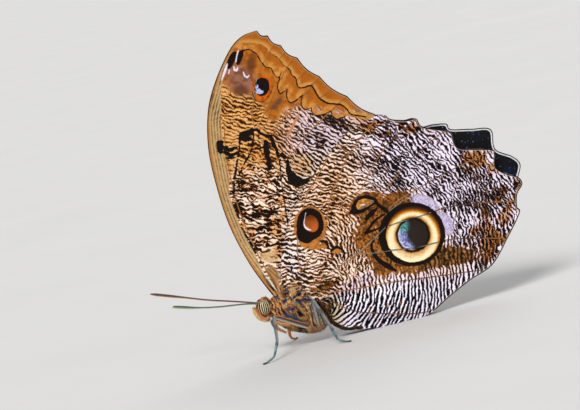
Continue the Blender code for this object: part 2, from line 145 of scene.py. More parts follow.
def store_map(mesh, name, places):
    """A UV map that gives each corner of the mesh its place on the unwrapped skin."""
    layer = mesh.uv_layers.new(name=name)
    loops = np.empty(len(mesh.loops), np.int32)
    mesh.loops.foreach_get("vertex_index", loops)
    layer.data.foreach_set("uv", np.asarray(places, np.float32)[loops].ravel())


# %% [markdown]
# ## Measuring on the wing
# A wing's pattern is easiest to describe flat, by how far a spot lies from a drawn line or shape. A
# negative distance means inside the mark. Such distances change evenly, so a corner every quarter of a
# millimetre is enough: the material finds the crisp edge where the distance passes zero.

# %% Distances and soft shapes
FAR = 5.0


def ramp(value, low, high):
    """0 below low, 1 above high and smooth between. It falls where low is the larger one."""
    t = np.clip((value - low) / (high - low), 0, 1)
    return t * t * (3 - 2 * t)


def beside(*columns):
    """The columns side by side, as one row for each corner."""
    return np.stack(columns, axis=1)


def length_along(path):
    steps = np.linalg.norm(np.diff(path, axis=0), axis=1)
    return np.concatenate([[0], np.cumsum(steps)])


def smooth_path(points, step=0.6):
    """A smooth curve through the points, with a place about every step."""
    knots = np.array(points, float)
    padded = np.vstack([2 * knots[0] - knots[1], knots, 2 * knots[-1] - knots[-2]])
    path = [knots[0]]
    for i in range(len(knots) - 1):
        a, b, c, d = padded[i:i + 4]
        count = max(1, round(float(np.linalg.norm(c - b)) / step))
        for j in range(1, count + 1):
            t = j / count
            bend = (2 * a - 5 * b + 4 * c - d) * t**2 + (3 * b - a - 3 * c + d) * t**3
            path.append(0.5 * (2 * b + (c - a) * t + bend))
    return np.array(path)


def to_line(spots, path, widths=None):
    """Distance from each spot to a path, less half the width of the path there."""
    best = np.full(len(spots), 1e9)
    for i in range(len(path) - 1):
        a, b = path[i], path[i + 1]
        reach = max(float(np.linalg.norm(b - a)), 1e-9)
        t = np.clip((spots - a) @ (b - a) / reach**2, 0, 1)
        away = np.linalg.norm(spots - a - t[:, None] * (b - a), axis=1)
        if widths is not None:
            away = away - (widths[i] + (widths[i + 1] - widths[i]) * t) / 2
        best = np.minimum(best, away)
    return best


def inside(spots, ring):
    ring = np.array(ring)
    hit = np.zeros(len(spots), bool)
    for (x1, z1), (x2, z2) in zip(ring, np.roll(ring, -1, axis=0)):
        crosses = (z1 > spots[:, 1]) != (z2 > spots[:, 1])
        at = x1 + (spots[:, 1] - z1) * (x2 - x1) / (z2 - z1 if z2 != z1 else 1e-9)
        hit ^= crosses & (spots[:, 0] < at)
    return hit


def stroke(spots, points, width):
    """A drawn line: one width, or one for each of several even stretches."""
    path = smooth_path(points)
    width = np.atleast_1d(width)
    widths = np.interp(np.linspace(0, 1, len(path)), np.linspace(0, 1, len(width)), width)
    return to_line(spots, path, widths)


def patch(spots, points):
    """A filled shape with a smooth outline."""
    ring = smooth_path(list(points) + [points[0]], 0.5)
    away = to_line(spots, ring)
    return np.where(inside(spots, ring[:-1]), -away, away)


def oval(spots, centre, half, lean=0.0):
    """1 on the edge of a leaning oval, less inside it."""
    turn = math.radians(lean)
    away = spots - np.array(centre)
    along = away[:, 0] * math.cos(turn) + away[:, 1] * math.sin(turn)
    across = -away[:, 0] * math.sin(turn) + away[:, 1] * math.cos(turn)
    return np.hypot(along / half[0], across / half[1])


def haze(spots, centre, half, lean=0.0, soft=0.5):
    """A soft oval cloud: 1 in the middle, fading to 0 round its edge."""
    return 1 - ramp(oval(spots, centre, half, lean), 1 - soft, 1 + soft)


def mottle(spots, size, seed):
    """Smooth random hills from -1 to 1, each about size across."""
    table = np.random.default_rng(seed).uniform(-1, 1, (64, 64))
    place = spots / size + 1000.0
    cell = np.floor(place).astype(int)
    f = place - cell
    f = f * f * (3 - 2 * f)
    i, j = cell[:, 0] % 64, cell[:, 1] % 64
    i1, j1 = (i + 1) % 64, (j + 1) % 64
    near = table[i, j] * (1 - f[:, 0]) + table[i1, j] * f[:, 0]
    far = table[i, j1] * (1 - f[:, 0]) + table[i1, j1] * f[:, 0]
    return near * (1 - f[:, 1]) + far * f[:, 1]


def paint(base, colour, amount):
    return base + (np.asarray(colour) - base) * np.clip(amount, 0, 1)[:, None]


def shade(red, green, blue):
    """A colour named as on a screen, 0 to 255, turned into the light values that materials use."""
    c = np.array((red, green, blue), float) / 255
    return np.where(c <= 0.04045, c / 12.92, ((c + 0.055) / 1.055) ** 2.4)


def flat_colour(spots, rgb):
    return np.tile(shade(*rgb), (len(spots), 1))


def blended(spots, first, second, share):
    """One screen colour passing into another."""
    return paint(flat_colour(spots, first), shade(*second), share)


def painted(spots, rgb, *layers):
    """A screen colour with others laid over it in turn, each with how far it covers."""
    return layered(flat_colour(spots, rgb), *layers)


def layered(base, *layers):
    for rgb, amount in layers:
        base = paint(base, shade(*rgb), amount)
    return base


def lay(ground, cover, colour, amount):
    """Paint the ground, and note how far it covers the ripples by now."""
    amount = np.clip(amount, 0, 1)
    return paint(ground, colour, amount), np.maximum(cover, amount)


def lowest(rows):
    return np.min(rows, axis=0)


def clouds(spots, rows, soft=0.6):
    return np.max([haze(spots, centre, half, lean, soft) for centre, half, lean in rows], axis=0)


def weighted_clouds(start, spots, rows, soft):
    """The start values with soft clouds added, each by its own amount."""
    for centre, half, lean, amount in rows:
        start = start + amount * haze(spots, centre, half, lean, soft)
    return start


def strokes(spots, rows):
    return lowest([stroke(spots, points, widths) for points, widths in rows])


# %% [markdown]
# ## The ripple pattern
# The underside is covered with short wavy lines, dark between pale ones, that run across the wing in
# great arcs, join, fork and break off. A plain wave texture is too regular for this. Here many small
# packets of waves are strewn over the wing, each lying along the local heading, and their sum is read
# as one wave. Where packets disagree, the lines fork and break just as the scales' lines do.

# %% Ripples
PACKET_REACH = 3.2
PACKETS_PER_MM2 = 1.6


def ripples(spots, heading, period, stretch, seed):
    """-1 in the middle of a dark line and 1 in the middle of a pale one."""
    rng = np.random.default_rng(seed)
    low, high = spots.min(axis=0) - 3, spots.max(axis=0) + 3
    count = int(PACKETS_PER_MM2 * (high[0] - low[0]) * (high[1] - low[1]))
    seeds = rng.uniform(low, high, (count, 2))
    start = rng.uniform(0, 2 * math.pi, count)
    angle = heading(seeds)
    wave = period(seeds) * rng.uniform(0.86, 1.16, count)
    order = np.lexsort((spots[:, 1], np.floor(spots[:, 0] / PACKET_REACH)))
    column = np.floor(spots[order, 0] / PACKET_REACH).astype(int)
    rows = spots[order, 1]
    real = np.zeros(len(spots))
    turned = np.zeros(len(spots))
    ends = {c: np.searchsorted(column, [c, c + 1]) for c in np.unique(column)}
    for k in range(count):
        home = int(math.floor(seeds[k, 0] / PACKET_REACH))
        for c in (home - 1, home, home + 1):
            if c not in ends:
                continue
            first, last = ends[c]
            start_row = first + np.searchsorted(rows[first:last], seeds[k, 1] - PACKET_REACH)
            end_row = first + np.searchsorted(rows[first:last], seeds[k, 1] + PACKET_REACH)
            if end_row <= start_row:
                continue
            at = order[start_row:end_row]
            away = spots[at] - seeds[k]
            u = away[:, 0] * math.cos(angle[k]) + away[:, 1] * math.sin(angle[k])
            v = away[:, 1] * math.cos(angle[k]) - away[:, 0] * math.sin(angle[k])
            amount = np.exp(-((u / (stretch * wave[k])) ** 2) - (v / wave[k]) ** 2)
            phase = 2 * math.pi * v / wave[k] + start[k]
            real[at] += amount * np.cos(phase)
            turned[at] += amount * np.sin(phase)
    return real / (np.hypot(real, turned) + 0.3)


def kinked(spots, amount, seed):
    """The same places pushed a little to and fro, so that lines drawn through them get small kinks."""
    push = beside(mottle(spots, 0.95, seed), mottle(spots, 0.95, seed + 1))
    push += 0.5 * beside(mottle(spots, 0.5, seed + 2), mottle(spots, 0.5, seed + 3))
    return spots + push * np.asarray(amount).reshape(-1, 1)


def blended_heading(spots, samples):
    """The heading at each spot, from a few headings noted at places on the wing."""
    total = np.zeros(len(spots))
    weight = np.zeros(len(spots))
    for (x, z), degrees in samples:
        w = 1 / ((spots[:, 0] - x) ** 2 + (spots[:, 1] - z) ** 2 + 6.0) ** 1.5
        total += w * math.radians(degrees)
        weight += w
    return total / weight


# %% [markdown]
# ## The forewing's markings
# Only the part before the hindwing shows, but the whole wing is painted. Towards the tip lies an orange
# band between two dark toothed lines, then the small eyespot in a plain orange field, the black spots
# and white ticks of the tip, and below them the dark bars and blotches of the cell.

# %% Forewing marks
FORE_HEADINGS = [
    ((-23.7, 69.8), -54), ((-21.5, 67.1), -34), ((-17.3, 67.2), -12), ((-14.6, 64.4), -28),
    ((-26.3, 62.1), -38), ((-22.7, 60.8), -30), ((-27.5, 56.9), -28), ((-24.0, 56.1), -22),
    ((-18.5, 61.7), -24), ((-10.8, 58.5), -48), ((-5.8, 56.0), -54), ((-1.2, 57.7), -48),
    ((4.6, 58.3), -38), ((-9.4, 52.7), -68), ((-5.9, 49.1), -42), ((0.3, 51.8), -42), ((-5.8, 43.5), -38),
    ((-21.2, 49.9), -24), ((-16.5, 46.0), -28), ((-24.3, 42.3), -24), ((-19.9, 37.1), -20),
    ((-11.3, 37.9), -32), ((-15.7, 30.6), -28), ((-25.4, 31.5), -22), ((-21.8, 22.3), -12),
    ((4.3, 63.3), -32),
]


def fore_heading(spots):
    wander = math.radians(24) * mottle(spots, 1.8, 15) + math.radians(13) * mottle(spots, 4.5, 16)
    return blended_heading(spots, FORE_HEADINGS) + wander


def fore_period(spots):
    return 0.93 + 0.10 * mottle(spots, 5.0, 19) + 0.06 * ramp(spots[:, 1], 40, 25)


FORE_CALM = [
    (-20.6, 82.3), (-16.1, 85.1), (-10.7, 86.6), (-3.5, 78.9), (5.2, 67.3), (11.9, 59.4), (9.5, 58.5),
    (3.7, 60.7), (-2.6, 62.7), (-4.5, 64.3), (-8.2, 62.9), (-11.6, 60.4), (-13.5, 64.1), (-15.2, 66.7),
    (-17.7, 70.6), (-20.0, 70.1), (-22.1, 73.3), (-23.7, 75.9),
]
BAND_OUTER = [
    (-13.7, 83.2), (-11.1, 82.2), (-9.7, 80.9), (-9.2, 79.7), (-7.8, 78.4), (-6.7, 76.9), (-5.7, 75.0),
    (-4.6, 73.7), (-4.4, 72.2), (-3.5, 71.1), (-3.5, 69.0), (-2.8, 68.3), (-1.1, 68.3), (0.1, 68.3),
    (0.7, 67.2), (1.5, 64.7), (2.6, 63.4), (3.8, 62.5), (6.0, 61.8), (7.2, 61.3), (8.3, 59.9), (9.1, 58.3),
    (10.9, 57.5), (13.0, 56.6),
]
BAND_TEETH = [
    [(-16.0, 81.7), (-14.1, 81.5), (-13.4, 80.7), (-12.5, 79.9), (-12.0, 78.1), (-11.3, 76.6),
     (-10.6, 75.7), (-9.5, 75.3), (-9.2, 73.9), (-8.5, 72.6), (-7.9, 72.4), (-6.9, 73.6)],
    [(-7.7, 72.5), (-8.4, 71.2), (-8.9, 70.3), (-8.9, 68.9), (-8.6, 68.0), (-7.7, 68.3), (-6.4, 68.8)],
    [(-6.4, 68.8), (-7.0, 67.3), (-6.9, 65.9), (-6.4, 65.0), (-5.0, 65.2), (-3.1, 66.1)],
    [(-2.8, 66.3), (-3.4, 64.8), (-3.6, 63.5), (-3.0, 62.4), (-2.0, 62.3), (-1.1, 62.5)],
    [(-1.1, 62.5), (-1.1, 61.3), (-0.3, 60.2), (1.8, 59.9), (4.0, 60.5)],
    [(4.0, 60.5), (4.2, 58.9), (5.3, 57.8), (7.7, 58.1)],
]
BEYOND = [(16.7, 55.5), (6.0, 70.7), (-9.7, 88.6), (-19.5, 84.8)]
BAND_LINE_WIDTHS = [0.10, 0.16, 0.22, 0.30, 0.34, 0.40, 0.50, 0.50, 0.46, 0.40, 0.36]
TOOTH_WIDTHS = [0.34, 0.30, 0.36, 0.34, 0.26]
TIP_SPOTS = [
    [(-21.3, 78.6), (-20.5, 80.2), (-19.2, 81.6), (-18.0, 82.0), (-17.7, 81.5), (-18.5, 79.9),
     (-19.7, 78.2), (-21.0, 77.6)],
    [(-18.4, 79.0), (-17.8, 80.7), (-16.8, 81.7), (-15.9, 81.8), (-16.0, 80.7), (-16.8, 79.2),
     (-17.9, 78.1), (-18.5, 78.2)],
]
TIP_TICKS = [
    ([(-20.9, 79.1), (-21.8, 77.6), (-22.6, 76.4), (-23.3, 75.2)], [0.3, 0.7, 0.6, 0.3]),
    ([(-20.7, 77.4), (-21.1, 76.4)], [0.35, 0.25]),
    ([(-19.3, 78.0), (-19.3, 77.0), (-18.8, 76.8), (-18.3, 77.6)], [0.3, 0.6, 0.5, 0.25]),
    ([(-17.1, 76.0), (-17.0, 74.9), (-16.4, 74.3), (-15.7, 74.8)], [0.3, 0.4, 0.45, 0.25]),
    ([(-17.2, 81.9), (-17.9, 80.6), (-18.5, 79.1)], [0.3, 0.3, 0.3]),
]
SMALL_PUPIL = [
    (-15.0, 71.7), (-14.1, 73.0), (-12.6, 73.4), (-11.3, 72.7), (-10.9, 71.2), (-11.4, 69.7), (-12.6, 68.6),
    (-14.2, 68.7), (-15.0, 70.0),
]
SMALL_RING = [
    (-15.6, 71.8), (-14.5, 73.3), (-12.8, 74.0), (-11.1, 73.5), (-10.2, 71.6), (-10.8, 69.3), (-12.5, 67.6),
    (-14.2, 67.1), (-15.4, 68.0), (-15.9, 69.9),
]
FORE_BLOTCHES = [
    [(-28.4, 59.6), (-26.7, 59.5), (-27.2, 56.8), (-28.0, 55.9), (-28.6, 56.9)],
    [(-21.5, 60.3), (-20.6, 60.3), (-19.4, 59.3), (-19.3, 57.8), (-20.6, 57.8), (-22.0, 58.7)],
    [(-11.0, 50.3), (-10.3, 50.3), (-10.2, 48.4), (-9.9, 47.1), (-9.2, 46.0), (-8.1, 44.9), (-7.0, 44.2),
     (-5.7, 44.3), (-6.3, 43.3), (-8.0, 42.4), (-10.2, 42.5), (-11.4, 44.0), (-11.7, 46.6)],
]
CELL_END = [
    (-14.2, 33.8), (-14.1, 36.6), (-13.9, 39.9), (-13.5, 44.5), (-12.9, 49.3), (-13.1, 53.5), (-13.7, 57.3),
]
CELL_HOOK = [(-14.2, 33.8), (-12.5, 35.1), (-10.7, 36.9), (-9.9, 38.9), (-10.6, 40.8), (-12.6, 40.9)]
FORE_BARS = [
    ([(-26.7, 57.3), (-25.3, 56.4), (-23.3, 56.6)], [1.0, 1.2, 0.8]),
    ([(-26.8, 56.1), (-25.4, 55.0), (-23.7, 55.1)], [1.0, 1.4, 0.9]),
    ([(-26.8, 54.7), (-25.6, 54.1), (-24.2, 54.1)], [0.4, 0.6, 0.4]),
    ([(-18.9, 60.1), (-16.9, 60.1), (-15.9, 58.6), (-13.6, 57.4)], [0.7, 0.9, 1.0, 1.0]),
    ([(-13.6, 57.4), (-13.4, 55.5), (-12.9, 53.0), (-12.6, 50.7)], [1.1, 1.0, 0.8, 0.6]),
    ([(-15.3, 56.3), (-15.5, 54.1), (-15.7, 51.9), (-15.8, 49.2)], [1.2, 1.9, 1.3, 1.4]),
    ([(-18.9, 58.5), (-19.1, 56.3), (-19.9, 54.3)], [0.5, 0.4, 0.3]),
    ([(-19.3, 55.8), (-17.8, 54.9), (-16.1, 55.2)], [0.3, 0.6, 0.3]),
    ([(-21.7, 60.2), (-22.8, 56.1), (-25.7, 48.8), (-27.0, 44.1)], [0.55, 0.5, 0.46, 0.46]),
    ([(-18.0, 59.1), (-19.4, 55.3), (-22.1, 52.1), (-24.5, 49.0)], [0.55, 0.5, 0.5, 0.4]),
    ([(-21.3, 59.9), (-18.5, 59.4)], [1.3, 1.3]),
    ([(-26.8, 35.2), (-26.0, 32.5), (-24.4, 28.5)], [0.3, 0.5, 0.3]),
    ([(-11.7, 51.8), (-11.2, 51.2)], [1.3, 1.3]), (CELL_END, [0.34, 0.36, 0.42, 0.5]),
    (CELL_HOOK, [0.3, 0.3, 0.35, 0.25]),
    ([(-12.8, 37.4), (-11.6, 37.7), (-10.8, 38.6)], [0.2, 0.3, 0.2]),
]
FORE_CLOUDS = [
    ((-26.3, 40.6), (1.4, 1.5), 15), ((-23.4, 47.7), (2.0, 1.2), 0), ((-20.7, 37.3), (4.5, 1.0), 0),
    ((-19.1, 34.2), (3.6, 0.8), 8), ((-25.5, 29.6), (2.6, 0.9), -38),
]
FORE_CREAM = [
    ((-20.7, 26.2), (2.6, 2.2), 0), ((-16.3, 56.6), (2.3, 1.1), -8), ((-25.7, 52.4), (1.6, 2.2), 0),
    ((-24.7, 34.7), (2.0, 1.0), 0),
]
CELL = [
    (-27.5, 56.9), (-19.0, 59.9), (-13.7, 57.0), (-12.9, 49.3), (-13.7, 39.8), (-14.6, 33.1), (-16.9, 26.7),
    (-23.8, 23.4), (-27.0, 30.5), (-29.1, 42.1),
]
FORE_VEIN_LINES = [
    [(-13.7, 57.3), (-10.4, 60.6), (-7.1, 62.7), (-4.1, 65.0), (-0.3, 67.7), (2.8, 70.3)],
    [(-11.4, 51.2), (-9.7, 51.3), (-5.3, 54.5), (-0.6, 57.8), (3.6, 60.2), (6.9, 62.2), (9.1, 63.3)],
    [(-17.3, 59.8), (-14.9, 62.8), (-11.9, 66.5), (-8.3, 71.2), (-5.2, 74.6), (-3.1, 76.6)],
    [(-17.3, 59.8), (-17.5, 64.0), (-16.0, 68.0), (-13.5, 74.3), (-8.7, 80.0), (-7.5, 81.5)],
    [(-6.6, 77.4), (-4.9, 79.0)],
    [(-3.3, 70.8), (-0.4, 72.7)],
    [(-0.1, 68.4), (2.0, 69.4)],
    [(1.7, 64.5), (4.8, 66.0)],
    [(-3.0, 66.1), (0.1, 68.3)],
    [(-16.8, 59.7), (-14.2, 61.0), (-12.3, 64.4)],
    CELL_END,
    [(-12.6, 40.7), (-8.9, 42.0), (-3.0, 45.6), (4.3, 50.8), (15.1, 56.1)],
    [(-14.2, 33.8), (-15.5, 29.1), (-17.6, 23.5), (-19.4, 18.1)],
    [(-25.2, 64.6), (-26.4, 56.7), (-26.7, 42.9), (-24.1, 27.0), (-21.1, 18.0)],
]
FORE_BASE_LINES = [
    ([(-29.1, 32.4), (-26.7, 25.4), (-24.1, 19.5), (-21.6, 15.6)], (190, 128, 62), 0.35),
    ([(-28.0, 32.1), (-25.7, 25.2), (-23.3, 19.6), (-21.1, 15.5)], (20, 16, 18), 0.4),
    ([(-27.2, 31.9), (-24.9, 25.0), (-22.7, 19.7), (-20.8, 15.4)], (240, 222, 186), 0.16),
    ([(-26.2, 31.7), (-23.7, 25.0), (-21.9, 19.5), (-20.6, 15.3)], (20, 16, 18), 0.3),
    ([(-24.8, 31.4), (-22.7, 24.7), (-21.1, 19.3), (-20.3, 15.3)], (196, 132, 66), 0.4),
    ([(-15.8, 29.2), (-17.6, 23.5), (-19.4, 18.1), (-20.0, 15.2)], (190, 130, 70), 0.3),
]
FORE_EDGE = [
    (-21.1, 15.6), (-23.0, 17.0), (-24.5, 20.2), (-26.7, 25.4), (-28.4, 30.3), (-29.8, 36.7), (-30.7, 45.0),
    (-30.8, 51.9), (-30.6, 57.7), (-29.9, 63.0), (-29.4, 65.6), (-28.4, 68.2), (-27.3, 70.6), (-26.0, 73.1),
    (-24.6, 75.5), (-23.3, 78.0), (-21.3, 80.3), (-19.3, 82.5), (-16.2, 84.9), (-14.5, 85.6), (-11.1, 85.9),
]
print("forewing bars", len(FORE_BARS), "veins", len(FORE_VEIN_LINES))

# %% [markdown]
# ## The forewing's layers
# The pattern is built as a painter would: first the three colours of the ripples, then the ripples
# themselves, then all that lies over them. Last come the distances to the black and the bright marks.

# %% Forewing layers
FORE_LILAC = ((0.6, 53.1), (11, 10), -50, 0.6)
FORE_BEIGE = ((-7.4, 47.8), (3.4, 3.2), 0, 0.5)
FORE_ORANGE = [((-20.8, 37.9), (1.2, 0.9), 0), ((-17.3, 34.8), (2.4, 1.1), -8)]
FORE_DUTY = [
    ((-21.0, 65.9), (7, 6), 0, -0.05), ((4.7, 57.4), (5.2, 1.7), -38, 0.85),
    ((-1.3, 53.5), (3, 2), -30, 0.40), ((6.5, 60.6), (3.5, 2.2), -38, -0.50),
    ((-7.6, 48.1), (4.5, 3.5), 0, -0.1), ((-6.3, 53.9), (5, 3), -45, -0.1),
    ((-1.9, 45.9), (6, 5), -40, 0.30), ((-16.1, 45.4), (4, 4), 0, 0.22), ((-20.4, 65.7), (8, 5), -10, 0.15),
]
FORE_RIPPLE_STRETCH = 1.5
FORE_TINTS = [
    ((86, 50, 30), ((-18.9, 71.4), (2.0, 1.4), -20, 0.6), 0.8),
    ((84, 46, 22), ((-14.5, 77.7), (2.6, 1.3), 62, 0.5), 0.8),
    ((92, 60, 48), ((-10.1, 65.6), (2.2, 0.9), 35, 0.6), 0.8),
    ((196, 120, 50), ((-7.1, 58.8), (3.8, 0.42), 50, 0.6), 0.9),
    ((196, 186, 208), ((-4.1, 59.7), (2.2, 0.35), 45, 0.7), 0.5),
]
BASE_PLAIN = ((-21.3, 25.8), (2.3, 1.5), -25, 0.5)
BASE_SHAFT = ((-21.3, 21.1), (1.5, 2.6), 22, 0.4)
SHAFT_GRAIN = 0.9
TIP_MAUVE = ((-18.3, 74.1), (3.6, 4.8), 20, 0.55)
EDGE_SMOKE = ((-26.5, 67.2), (1.2, 6.0), 5, 0.6)
EDGE_GROOVE = 0.78
SMALL_RING_HEIGHT = 70.9
SMALL_RING_LINE = 0.18
SMALL_GLEAM = ((-14.1, 69.8), (1.2, 0.6), -10)
SMALL_GLEAM_UPRIGHT = ((-14.3, 70.9), (0.6, 1.1), 10)


def fore_tones(spots, lilac, cell, fine):
    """The ripples' three colours at each spot: the pale lines, the middle tone and the dark lines."""
    low = ramp(spots[:, 1], 54, 44)
    orange = ramp(mottle(spots, 1.9, 53) + 0.4 * fine, 0.1, 0.6) * cell
    orange = np.maximum(orange, clouds(spots, FORE_ORANGE, 0.3))
    pale = painted(
        spots, (228, 176, 110), ((226, 208, 220), lilac), ((248, 228, 208), low),
        ((218, 184, 134), clouds(spots, FORE_CREAM) * 0.8), ((214, 176, 134), haze(spots, *FORE_BEIGE)),
        ((214, 146, 68), orange * 0.8),
    )
    middle = painted(
        spots, (176, 106, 38), ((142, 100, 66), lilac), ((172, 112, 58), low * 0.9),
        ((186, 108, 38), orange),
    )
    dark = painted(spots, (48, 26, 12), ((24, 19, 24), lilac), ((20, 13, 10), low))
    return pale, middle, dark


def fore_ripple(spots, cell):
    """The ripples, shifted so that dark lines are broader where the duty is high."""
    duty = weighted_clouds(0.25 * mottle(spots, 4.0, 22) - 0.02, spots, FORE_DUTY, 0.6)
    lumps = 0.5 * mottle(spots, 1.5, 54) + 0.35 * mottle(spots, 0.8, 55)
    duty += cell * (0.12 + lumps)
    duty += 0.95 * clouds(spots, FORE_CLOUDS) - 0.5 * clouds(spots, FORE_CREAM)
    duty += 0.2 * mottle(spots, 1.3, 28)
    places = kinked(spots, 0.34 + 0.10 * cell, 81)
    waves = ripples(places, fore_heading, fore_period, FORE_RIPPLE_STRETCH, 12)
    return waves + 0.25 * mottle(spots, 0.55, 14) - duty


def costal_strip(spots, fine):
    """The grooved tan strip along the front edge, and how far it covers."""
    height = spots[:, 1]
    edge = to_line(spots, smooth_path(FORE_EDGE, 1.0))
    width = 2.2 * ramp(height, 84, 66) * ramp(height, 14, 30) + 0.5
    width += 1.2 * ramp(height, 44, 50) * ramp(height, 74, 62)
    grooves = np.sin(2 * math.pi * edge / EDGE_GROOVE + 1.2 * mottle(spots, 6.0, 63))
    smoke = haze(spots, *EDGE_SMOKE) * ramp(grooves, -0.4, 0.6)
    tan = painted(
        spots, (196, 160, 108), ((120, 88, 54), ramp(grooves + 0.5 * fine, 0.0, 0.9)),
        ((182, 120, 54), 1 - ramp(edge, 0.35, 0.6)), ((84, 60, 40), smoke * 0.8),
    )
    return tan, 1 - ramp(edge - width, -0.35, 0.1)


def fore_band(ground, cover, spots, fine):
    """The plain orange field with the toothed band beyond it, and the mauve tip."""
    calm = 1 - ramp(patch(spots, FORE_CALM) - 1.1 * mottle(spots, 1.6, 23), -1.2, 1.2)
    field = blended(spots, (184, 108, 32), (146, 76, 18), ramp(fine, -0.5, 1.0))
    ground, cover = lay(ground, cover, field, calm)
    past_teeth = -patch(spots, [p for row in BAND_TEETH for p in row] + BEYOND)
    past_outer = -patch(spots, BAND_OUTER + BEYOND)
    warm = blended(spots, (208, 142, 66), (182, 110, 40), ramp(fine, -0.6, 0.8))
    in_band = ramp(past_teeth, -0.2, 0.2)
    ground, cover = lay(ground, cover, warm, in_band * (1 - ramp(past_teeth, 0.6, 2.2)))
    rust = in_band * ramp(past_teeth, 1.0, 2.6) * 0.85
    ground, cover = lay(ground, cover, shade(168, 92, 20), rust)
    edge_light = ramp(past_outer, -0.2, 0.2) * (1 - ramp(past_outer, 0.4, 1.6))
    ground, cover = lay(ground, cover, shade(206, 148, 74), edge_light * 0.8)
    mauve = blended(spots, (146, 100, 82), (118, 72, 50), ramp(fine, -0.5, 0.8))
    return lay(ground, cover, mauve, haze(spots, *TIP_MAUVE) * 0.9)


def fore_ground(ground, spots, ripple, fine):
    """All that lies over the ripples, from the plain base to the tip, and how far it covers them."""
    height = spots[:, 1]
    plain = haze(spots, *BASE_PLAIN) * ramp(ripple, -1.2, 0.2)
    ground, cover = lay(ground, np.zeros(len(spots)), shade(208, 176, 120), plain * 0.85)
    shaft = haze(spots, *BASE_SHAFT)
    ground, cover = lay(ground, cover, shade(164, 124, 76), shaft * 0.95)
    along = spots[:, 0] * 0.8 + height * 0.6
    streaks = np.sin(2 * math.pi * along / SHAFT_GRAIN + mottle(spots, 2.0, 64))
    ground = layered(ground, ((70, 50, 36), shaft * ramp(streaks, 0.4, 0.9)))
    ground, cover = fore_band(ground, cover, spots, fine)
    for rgb, cloud, amount in FORE_TINTS:
        ground, cover = lay(ground, cover, shade(*rgb), haze(spots, *cloud) * amount)
    ground, cover = lay(ground, cover, *costal_strip(spots, fine))
    base = 1 - ramp(height, 17, 24)
    for row, rgb, width in FORE_BASE_LINES:
        away = to_line(spots, smooth_path(row, 1.0))
        ground, cover = lay(ground, cover, shade(*rgb), (1 - ramp(away, width, width + 0.2)) * base)
    return ground, cover


def fore_ink(spots, ring):
    """Distance to the nearest black mark: bars, blotches, band lines, tip spots and the ring's line."""
    blotches = lowest([patch(spots, points) for points in FORE_BLOTCHES])
    ink = np.minimum(strokes(spots, FORE_BARS), blotches)
    ink = ink + 0.22 * mottle(spots, 0.55, 56) + 0.1 * mottle(spots, 0.25, 59)
    lines = [stroke(spots, BAND_OUTER, BAND_LINE_WIDTHS)]
    lines += [stroke(spots, row, TOOTH_WIDTHS) for row in BAND_TEETH]
    lines += [patch(spots, row) for row in TIP_SPOTS]
    ink = np.minimum(ink, lowest(lines) + 0.05 * mottle(spots, 0.5, 57))
    thinner_above = 0.22 * ramp(spots[:, 1] - SMALL_RING_HEIGHT, -1.5, 1.5)
    return np.minimum(ink, ring - SMALL_RING_LINE + thinner_above)


def fore_pattern(spots):
    """Every number and colour that the scales of the forewing need, by name."""
    fine = mottle(spots, 0.8, 52)
    lilac = haze(spots, *FORE_LILAC)
    cell = 1 - ramp(patch(spots, CELL), -1.0, 1.0)
    pale, middle, dark = fore_tones(spots, lilac, cell, fine)
    ripple = fore_ripple(spots, cell)
    warmth = 0.55 + 0.6 * ramp(spots[:, 1], 44, 54) - 0.5 * lilac + 0.3 * mottle(spots, 2.4, 25)
    ground, cover = fore_ground(paint(pale, middle, np.full(len(spots), 0.5)), spots, ripple, fine)
    ring = patch(spots, SMALL_RING)
    inlay = blended(spots, (206, 98, 14), (150, 62, 8), ramp(fine, -0.2, 0.8))
    gleam = np.maximum(haze(spots, *SMALL_GLEAM), haze(spots, *SMALL_GLEAM_UPRIGHT) * 0.8)
    gleam = 0.62 - gleam - 0.3 * mottle(spots, 0.4, 58)
    ticks = strokes(spots, TIP_TICKS)
    light = np.where((ticks < gleam)[:, None], shade(228, 224, 245), shade(176, 184, 228))
    return {
        "ripple": ripple, "warmth": warmth, "pale": pale, "middle": middle, "dark": dark,
        "ground": ground, "cover": cover, "ink": fore_ink(spots, ring),
        "inlay": inlay, "inlay_edge": ring, "pupil": patch(spots, SMALL_PUPIL),
        "light": light, "light_edge": np.minimum(ticks, gleam),
    }


# %% [markdown]
# ## The hindwing's markings
# The great eyespot is a set of rings: a black one, broadest on its outer side, a bright one that is a
# little off its centre, and a dark pupil with a blue crescent. Before it lie two smaller spots, an oval
# one at the front edge and a flat triangle. Brown clouds surround them, and towards the body the
# ripples straighten into close upright lines.

# %% Hindwing marks
WING_ROOT = (-12.6, 16.3)
RIPPLE_SWIRL = ((-0.5, 26.4), (6.5, 6.5), 0, 0.6)
FRONT_STRIPES = ((-15.3, 24.4), (3.0, 6.6), 8, 0.5)
EYE_CENTRE = (18.4, 22.6)
EYE_PUPIL_CENTRE = (18.7, 22.4)
EYE_RING_CENTRE = (18.8, 22.3)
EYE_RADIUS = 8.55
EYE_STOPS = [
    (0, (46, 38, 32)), (4.0, (40, 32, 26)), (4.35, (16, 10, 8)), (4.7, (34, 20, 8)), (4.95, (200, 132, 40)),
    (5.5, (250, 228, 176)), (6.3, (252, 236, 198)), (6.7, (242, 202, 124)), (7.05, (204, 130, 30)),
    (7.5, (140, 70, 12)), (7.9, (60, 32, 14)),
]


